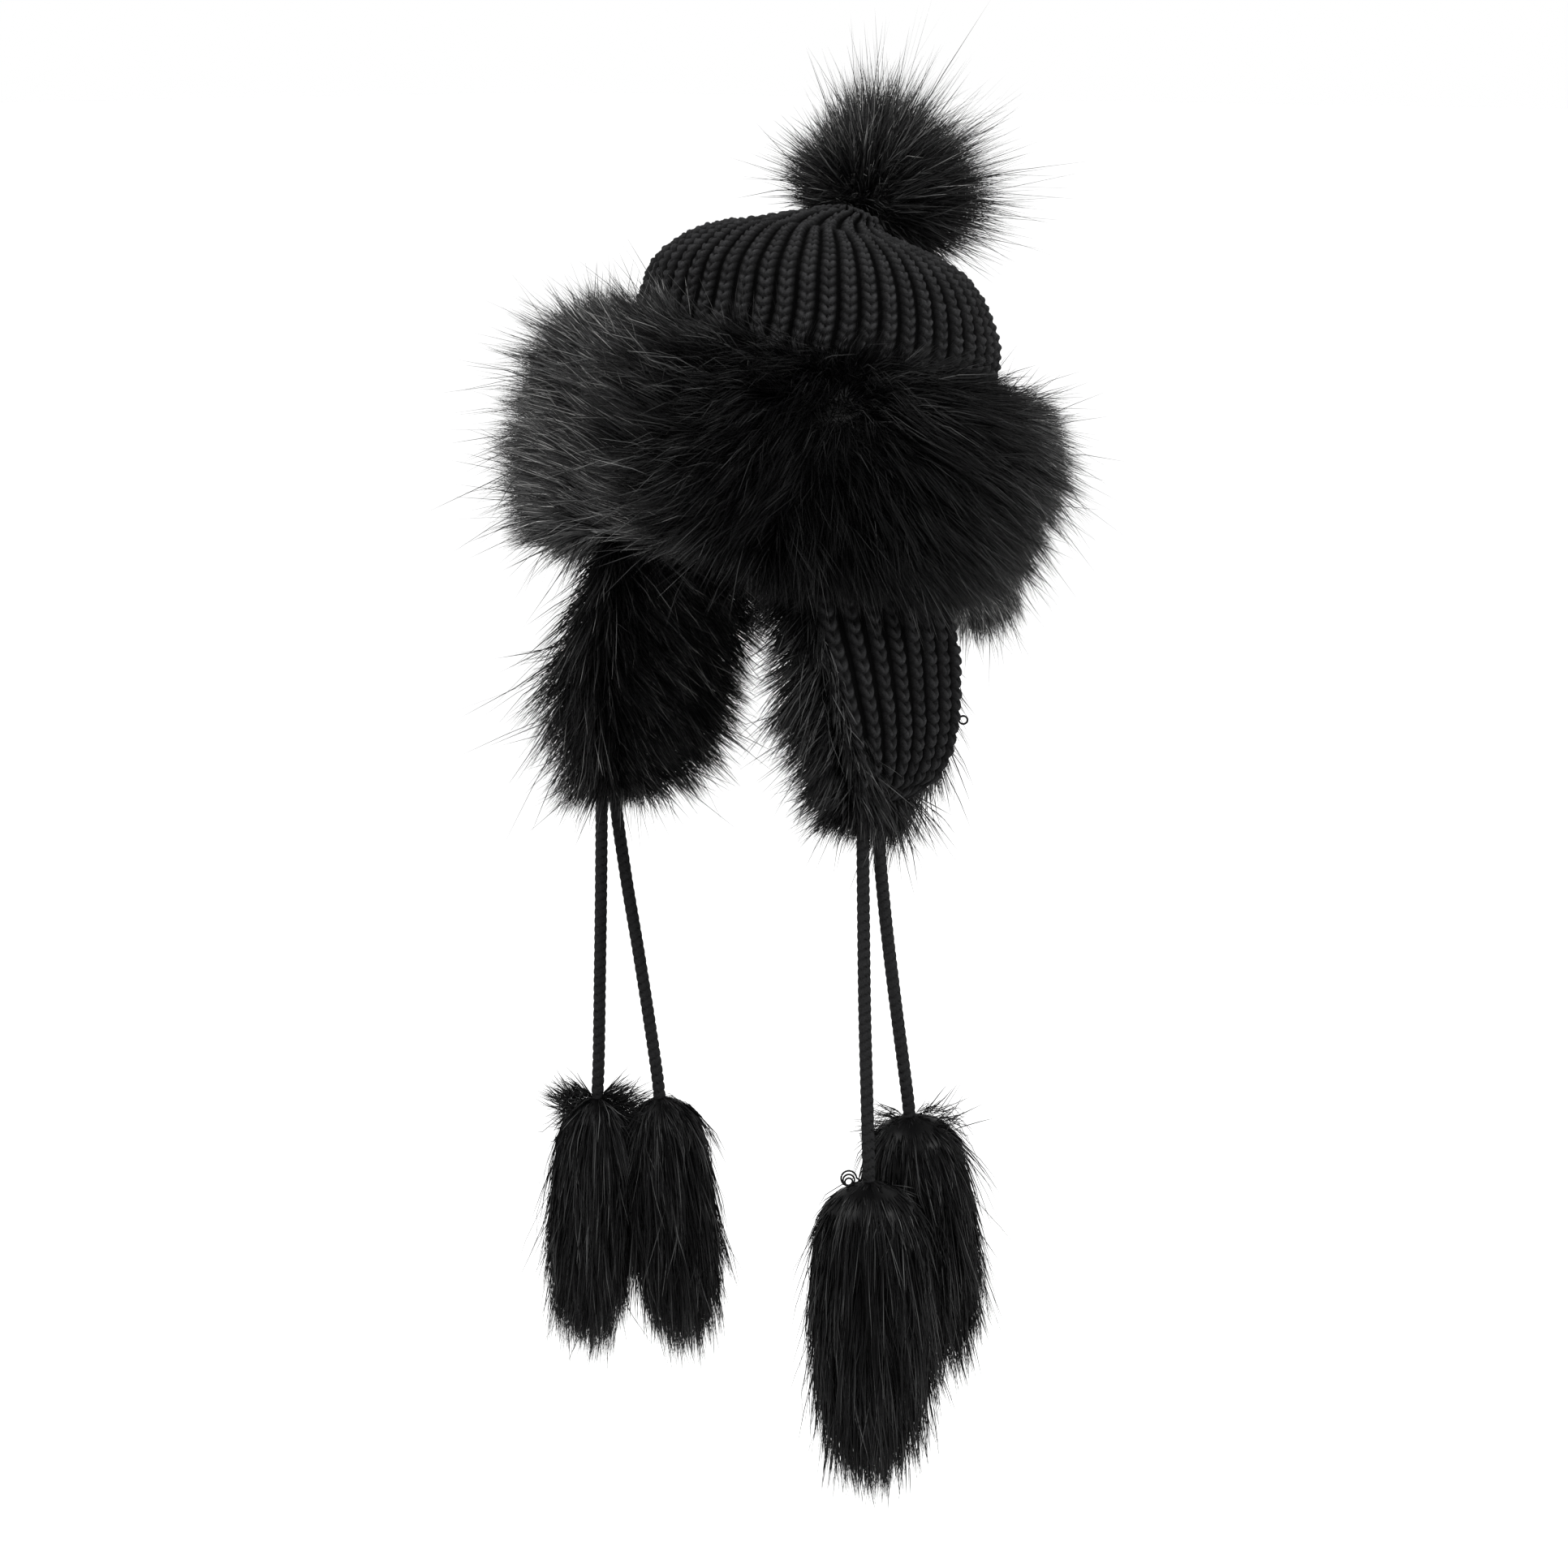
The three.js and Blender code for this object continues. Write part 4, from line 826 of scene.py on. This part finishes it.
def make_pompom():
    """The pompom's hair, which starts behind the crown's tip and keeps clear of the crown."""
    rng = np.random.default_rng(11)
    shape = Shape()
    turn, tilt = np.meshgrid(
        np.linspace(0, TURN, BALL_SIDES, endpoint=False),
        np.linspace(BALL_POLE, np.pi - BALL_POLE, BALL_ROWS),
    )
    ball = np.stack([np.cos(turn) * np.sin(tilt), np.sin(turn) * np.sin(tilt), -np.cos(tilt)], axis=-1)
    middle = 0.5 * (POMPOM_SOURCE + POMPOM_MIDDLE)
    shape.add(middle + BALL_RADIUS * ball, [grid(BALL_ROWS, BALL_SIDES, closed=True)])
    count = POMPOM_HAIRS
    out = unit(rng.normal(0, 1, (count, 3)))
    full = np.ones(count)
    for degrees, more in POMPOM_TUFTS:
        upward = np.array([0, 0, math.sin(math.radians(degrees))])
        tuft = VIEWER_RIGHT * math.cos(math.radians(degrees)) + upward
        full += more * np.exp(-(1 - out @ tuft) / TUFT_WIDTH)
    tips = POMPOM_MIDDLE + out * [POMPOM_LEVEL, POMPOM_LEVEL, POMPOM_UPRIGHT] * full[:, None]
    uneven = rng.normal(0, ROOTS_UNEVEN, (count, 3))
    roots = POMPOM_SOURCE + ROOTS_OUT * unit(tips - POMPOM_SOURCE) + uneven
    lengths = np.linalg.norm(tips - roots, axis=1) * rng.normal(0.96, 0.12, count)
    ways = unit(tips - roots)
    over_tip = (ways @ TOWARD_VIEWER > OVER_TIP_TOWARD) & (ways[:, 2] < OVER_TIP_BELOW)
    lengths = np.where(over_tip, OVER_TIP_SHARE * lengths, lengths)
    ways = ways + rng.normal(0, 0.06, (count, 3))
    for _ in range(CLEARINGS):
        reach = ways * lengths[:, None]
        inside = in_crown(roots + reach) | in_crown(roots + 0.6 * ways * lengths[:, None])
        lengths = np.where(inside, CLEARED * lengths, lengths)
    bends = np.stack([0 * full, 0 * full, np.full(count, -0.05)], axis=-1)
    # Painted shade: the pompom's hair that points down is darker than the hair that points up
    shade = 0.62 + 0.32 * np.clip(1.3 * ways[:, 2], 0, 1)
    grow(
        shape, rng, roots, ways, lengths, bends,
        width=0.52, clumps=170, pull=0.55, shade=shade, wander=0.1, curl=0.09,
    )
    shape.piece("pompom_fur", FUR, "fur", "top_pompom")


# A lining's bed: its rows and columns, where it ends at the flap's front, rear and foot, how far off the
# knit its two faces are, and how soon it is full
LINING_ROWS, LINING_COLUMNS = 20, 16
PAST_FRONT, PAST_REAR, PAST_FOOT = -0.07, 1.03, 1.02
FACE_OFF, BED_OFF_KNIT, BED_SOON = 0.3, 1, 3
# How many hairs it has, the share of its fringe, and which part of that grows at the front and, from the
# second share on, at the rear, with the rest at the foot
LINING_HAIRS, FRINGE_SHARE, FRONT_FRINGE, REAR_FRINGE = 12000, 0.5, 0.5, 0.75
# How much longer the hair at the front edge is, down the flap, and on the left and the right one
FRONT_DOWN, FRONT_LENGTH = [0, 0.3, 0.5, 0.75, 1], [0.7, 0.95, 1.35, 1.1, 0.85]
FRONT_LEFT, FRONT_RIGHT = 0.88, 1.3
# How long it is near the foot, from the front to the rear
FOOT_ACROSS, FOOT_LENGTH = [0, 0.5, 1], [0.6, 0.7, 1.05]
# The tones of the left and the right lining: the same fur, the right one paler as painted light
LEFT_TONE, RIGHT_PAINTED_LIGHT_TONE = 0.66, 0.78


def make_lining(side, name, seed):
    """The fur on the head's side of a flap, with a fringe of longer hair round its edge."""
    rng = np.random.default_rng(seed)
    shape = Shape()
    across, down = np.meshgrid(
        np.linspace(PAST_FRONT, PAST_REAR, LINING_COLUMNS),
        np.linspace(0, PAST_FOOT, LINING_ROWS),
    )
    edge = np.clip(np.minimum(np.minimum(across, 1 - across), 1 - down), 0, 1)
    face = flap_surface(across, down, KNIT_WALL + FACE_OFF)
    full = LINING_BED * np.clip(BED_SOON * edge, 0, 0.8)
    bed = flap_surface(across, down, KNIT_WALL + BED_OFF_KNIT + full)
    count = LINING_HAIRS
    u, v = rng.random(count), rng.random(count) ** 0.85
    fringe = rng.random(count) < FRINGE_SHARE
    place = rng.random(count)
    u = np.where(fringe & (place < FRONT_FRINGE), rng.uniform(PAST_FRONT, 0.04, count), u)
    u = np.where(fringe & (place > REAR_FRINGE), rng.uniform(0.94, 1.0, count), u)
    foot = fringe & (place >= FRONT_FRINGE) & (place <= REAR_FRINGE)
    v = np.where(foot, rng.uniform(0.96, PAST_FOOT, count), v)
    border = np.minimum(np.minimum(u, 1 - u), 1 - v)
    under = LINING_BED * np.clip(BED_SOON * border, 0, 0.75)
    roots = flap_surface(u, v, KNIT_WALL + BED_OFF_KNIT + under)
    inward = unit(flap_surface(u, v, 8.0) - flap_surface(u, v, 4.0))
    spread = np.where(u < 0.5, 1.15, 0.7) * np.clip((u - 0.5) * 2, -1, 1) ** 3
    sideways = np.stack([0 * u, spread, 0 * u], axis=-1)
    edge_hair = border < 0.05
    inwards = np.where(edge_hair, rng.uniform(-0.4, 0.85, count), rng.uniform(0.6, 1.15, count))
    inwards = np.where(u > 0.9, rng.uniform(0.3, 1.2, count), inwards)
    ways = inward * inwards[:, None] + sideways + [0, 0, -0.55] + rng.normal(0, 0.14, (count, 3))
    near_foot = np.interp(u, FOOT_ACROSS, FOOT_LENGTH)
    lengths = LINING_PILE * rng.normal(1.12, 0.17, count)
    lengths = lengths * np.where((v > 0.75) & (u > 0.05), near_foot, 1)
    at_front = np.interp(v, FRONT_DOWN, FRONT_LENGTH) * (FRONT_LEFT if side > 0 else FRONT_RIGHT)
    lengths = lengths * np.where(u < 0.05, at_front, 1)
    bends = np.tile([0, 0, -0.16], (count, 1))
    flip = np.array([side, 1, 1])
    faces = grid(LINING_ROWS, LINING_COLUMNS)
    faces = faces if side > 0 else faces[:, ::-1]
    shape.add(face * flip, [faces[:, ::-1]])
    shape.add(bed * flip, [faces])
    # The right lining's paler tone is painted light
    shade = LEFT_TONE if side > 0 else RIGHT_PAINTED_LIGHT_TONE
    grow(
        shape, rng, roots * flip, ways * flip, lengths, bends,
        width=0.56, clumps=330, pull=0.5, shade=shade,
    )
    add_edge_tufts(shape, rng, flip)
    shape.piece(name, FUR, "fur", "flap_" + name.replace("_fur", ""))


# Lining hair that laps over the knit: how many hairs, and which share of them is the corner's
LAP_HAIRS, CORNER_SHARE = 2000, 0.55


def add_edge_tufts(shape, rng, flip):
    """The lining's hair that laps over the knit: short at the flap's front edge, with a long tuft at its
    low front corner."""
    count = LAP_HAIRS
    corner = rng.random(count) < CORNER_SHARE
    u = np.where(corner, rng.uniform(-0.03, 0.13, count), rng.uniform(-0.04, 0.03, count))
    v = np.where(corner, rng.uniform(0.72, 0.96, count), rng.uniform(0.25, 1.0, count))
    rearward = np.where(corner, rng.uniform(0.2, 0.7, count), rng.uniform(-0.3, 0.5, count))
    outward = rng.uniform(0.05, 0.4, count)
    ways = np.stack([outward, rearward, np.full(count, -0.9)], axis=-1) + rng.normal(0, 0.12, (count, 3))
    lengths = np.where(corner, rng.uniform(16, 32, count), rng.uniform(8, 19, count))
    roots = flap_surface(u, v, -1.5)
    bends = np.tile([-0.2, 0, -0.1], (count, 1))
    grow(
        shape, rng, roots * flip, ways * flip, lengths, bends * flip,
        width=0.56, clumps=60, pull=0.5, shade=0.72,
    )


# A tassel's bare core: how far down it, and how wide, as shares
TASSEL_CORE = [(0.0, 0.08), (0.03, 0.46), (0.08, 0.7), (0.18, 0.82), (0.35, 0.84),
               (0.5, 0.78), (0.64, 0.62), (0.74, 0.32), (0.79, 0.08)]
CORE_END, CORE_SIDES = TASSEL_CORE[-1][0], 20
# How far a tassel's hair may reach below the end of its cord, and how much longer a stray may be
HAIR_PAST_CORD, TASSEL_STRAY = 105.0, 1.1
# The share of the hairs at both sides of a tassel's collar that stand out, and where these sides are
TASSEL_TUFTS = {"left_front": 0.0, "left_rear": 0.25, "right_front": 0.85, "right_rear": 0.0}
COLLAR_DOWN, COLLAR_SIDE = 0.07, 0.75
# The share of the hairs that lie over the dome, how far down they grow, and how far down the hair spreads
CAP_SHARE, CAP_DOWN, CAP_STEP, TOP_DOWN = 0.16, 0.16, 0.03, 0.1
# Where the hair ends, as a share of the tassel's length, and how uneven
ENDS_AT, ENDS_UNEVEN = 1.09, 0.22
# Lengths of its hair: down it, of the collar's tufts and over the dome
TASSEL_HAIR, TUFT_HAIR, CAP_HAIR = (28, 62), (11, 26), (9, 20)
TASSEL_HAIRS = 10000


def make_tassel(name, seed):
    """A tassel's core, which hides the end of its cord, and the hair that hangs round it."""
    rng = np.random.default_rng(seed)
    route, axis = cord_route(name)
    length, radius = CORDS[name][1] * TASSEL_LENGTH, CORDS[name][2] * TASSEL_RADIUS
    right = unit(np.cross(axis, [0, 1, 0.1]))
    ahead = np.cross(right, axis)
    table = np.array(TASSEL_CORE)

    def place(turn, down):
        wide = np.interp(down, table[:, 0], table[:, 1]) * radius
        out = np.cos(turn)[..., None] * right + np.sin(turn)[..., None] * ahead
        return route[-1] + axis * (down * length)[..., None] + out * wide[..., None], out

    shape = Shape()
    turn, down = np.meshgrid(np.linspace(0, TURN, CORE_SIDES, endpoint=False), table[:, 0])
    shape.add(place(turn, down)[0], [grid(len(table), CORE_SIDES, closed=True)])
    count = TASSEL_HAIRS
    down = CORE_END * rng.random(count) ** 1.4
    turn = rng.uniform(0, TURN, count)
    roots, out = place(turn, down)
    collar = (down < COLLAR_DOWN) & (np.abs(out @ VIEWER_RIGHT) > COLLAR_SIDE)
    tufted = collar & (rng.random(count) < TASSEL_TUFTS[name])
    top = np.clip(1 - down / TOP_DOWN, 0, 1)[:, None]
    ways = (
        axis * (1.0 - 0.85 * top)
        + out * (0.13 + 0.5 * top) * rng.uniform(0.2, 1.6, count)[:, None]
        + rng.normal(0, 0.06, (count, 3))
    )
    cap = ~tufted & (rng.random(count) < CAP_SHARE)
    down_cap = CAP_DOWN * down / CORE_END
    roots = np.where(cap[:, None], place(turn, down_cap)[0], roots)
    along_cap = unit(place(turn, down_cap + CAP_STEP)[0] - roots)
    ways = np.where(cap[:, None], along_cap + 0.1 * out + rng.normal(0, 0.1, (count, 3)), ways)
    ways = np.where(tufted[:, None], out - axis * rng.uniform(0.1, 1.2, count)[:, None], ways)
    ragged = 5 * np.sin(3 * turn + seed) + 4 * np.sin(8 * turn + 2 * seed) + rng.normal(0, 4, count)
    room = (ENDS_AT - ENDS_UNEVEN * rng.random(count) - down) * length + ragged
    lengths = rng.uniform(*TASSEL_HAIR, count) * (1 - 0.5 * top[:, 0])
    lengths = np.clip(lengths, 4, np.maximum(room, 5))
    lengths = np.where(tufted, rng.uniform(*TUFT_HAIR, count), lengths)
    lengths = np.where(cap, rng.uniform(*CAP_HAIR, count), lengths)
    past_cord = (CORD_IN_TASSEL - down) * length + HAIR_PAST_CORD
    lengths = np.minimum(lengths, past_cord / TASSEL_STRAY)
    bends = np.where(tufted[:, None], 0, axis * (0.1 + 0.5 * top) - out * (0.1 + 0.22 * top))
    grow(
        shape, rng, roots, ways, lengths, bends,
        width=0.5, clumps=420, pull=0.5, shade=0.69, wander=0.14, curl=0.07, longest=TASSEL_STRAY,
    )
    if name == "left_front":
        add_neck_thread(shape, route[-1])
    return shape.piece("tassel_fur_" + name, TASSEL_FUR, "fur", "tassel_" + name)


# The tie of one tassel: its turns, their radius, how far down they start and how they fall
TIE_TURNS, TIE_RADIUS, TIE_DOWN, TIE_FALL, TIE_THICK = 2.2, 5.4, 1.5, 0.35, 0.7
# Its curled end: its turns, their radius and how that shrinks, where its middle is and how it falls, and
# where its tail starts
CURL_TURNS, CURL_RADIUS, CURL_SHRINKS = 2.6, 4.2, 0.16
CURL_ASIDE, CURL_UP, CURL_FALL = 10.5, 1.5, 0.15
TAIL_ASIDE, CURL_THICK, TIE_TONE = 4, 0.5, 0.3


def add_neck_thread(shape, neck):
    """The tassel's tie: a few turns round its neck, whose end curls in the air beside it."""
    turn = np.linspace(0, TIE_TURNS * TURN, 60)
    tie = [TIE_RADIUS * np.cos(turn), TIE_RADIUS * np.sin(turn), -TIE_DOWN - TIE_FALL * turn]
    add_tube(shape, neck + np.stack(tie, axis=-1), TIE_THICK, TIE_TONE)
    turn = np.linspace(0, CURL_TURNS * TURN, 70)
    size = CURL_RADIUS - CURL_SHRINKS * turn
    curl = VIEWER_RIGHT * (-CURL_ASIDE + size * np.cos(turn))[:, None]
    curl[:, 2] += CURL_UP + size * np.sin(turn) - CURL_FALL * turn
    start = VIEWER_RIGHT * -TAIL_ASIDE
    tail = np.linspace(0, 1, 20)[:, None] * (curl[0] - start)
    add_tube(shape, neck + start + tail, CURL_THICK, TIE_TONE)
    add_tube(shape, neck + curl, CURL_THICK, TIE_TONE)


# Stage

# The floor is far below, so that no shadow of the hat falls where the camera looks
FLOOR_DEPTH, FLOOR_HALF, FLOOR_GLOW = 1.3, 60.0, 0.12


def make_stage():
    half = FLOOR_HALF
    mesh = bpy.data.meshes.new("floor")
    corners = [(-half, -half), (half, -half), (half, half), (-half, half)]
    mesh.from_pydata([(x, y, -FLOOR_DEPTH) for x, y in corners], [], [(0, 1, 2, 3)])
    floor = placed("floor", mesh)
    material, _, _, shader = principled("pale_floor", roughness=0.9, specular=0.2)
    shader.inputs["Base Color"].default_value = (0.95, 0.95, 0.95, 1)
    shader.inputs["Emission Color"].default_value = (1, 1, 1, 1)
    shader.inputs["Emission Strength"].default_value = FLOOR_GLOW
    mesh.materials.append(material)
    world = bpy.data.worlds.new("studio")
    world.use_nodes = True
    background = world.node_tree.nodes["Background"]
    background.inputs["Color"].default_value = (1, 1, 1, 1)
    background.inputs["Strength"].default_value = 1.0
    bpy.context.scene.world = world
    bpy.context.scene.view_settings.view_transform = "Standard"


def make_light(name, place, size, power):
    light = bpy.data.lights.new(name, "AREA")
    light.shape, light.size, light.energy = "DISK", size, power
    lamp = placed(name, light)
    lamp.location = place
    lamp.rotation_mode = "QUATERNION"
    lamp.rotation_quaternion = (Vector((0, 0, 0)) - Vector(place)).to_track_quat("-Z", "Y")


make_camera()
cords = {name: make_cord(name) for name in CORDS}
for seed, name in enumerate(CORDS):
    tassel = make_tassel(name, 20 + seed)
make_crown()
for side, word in ((1, "left"), (-1, "right")):
    make_flap(side, "flap_" + word + "_knit")
    make_lining(side, "lining_" + word + "_fur", 40 + side)
make_band("band_left_fur", -TURN / 4, TURN / 4, seed=50)
make_band("band_right_fur", TURN / 4, 3 * TURN / 4, seed=51)
make_pompom()
make_stage()
make_light("key", place=(-1.2, -2.2, 2.4), size=2.0, power=135)
make_light("side", place=(2.6, 0.4, 1.6), size=1.6, power=100)
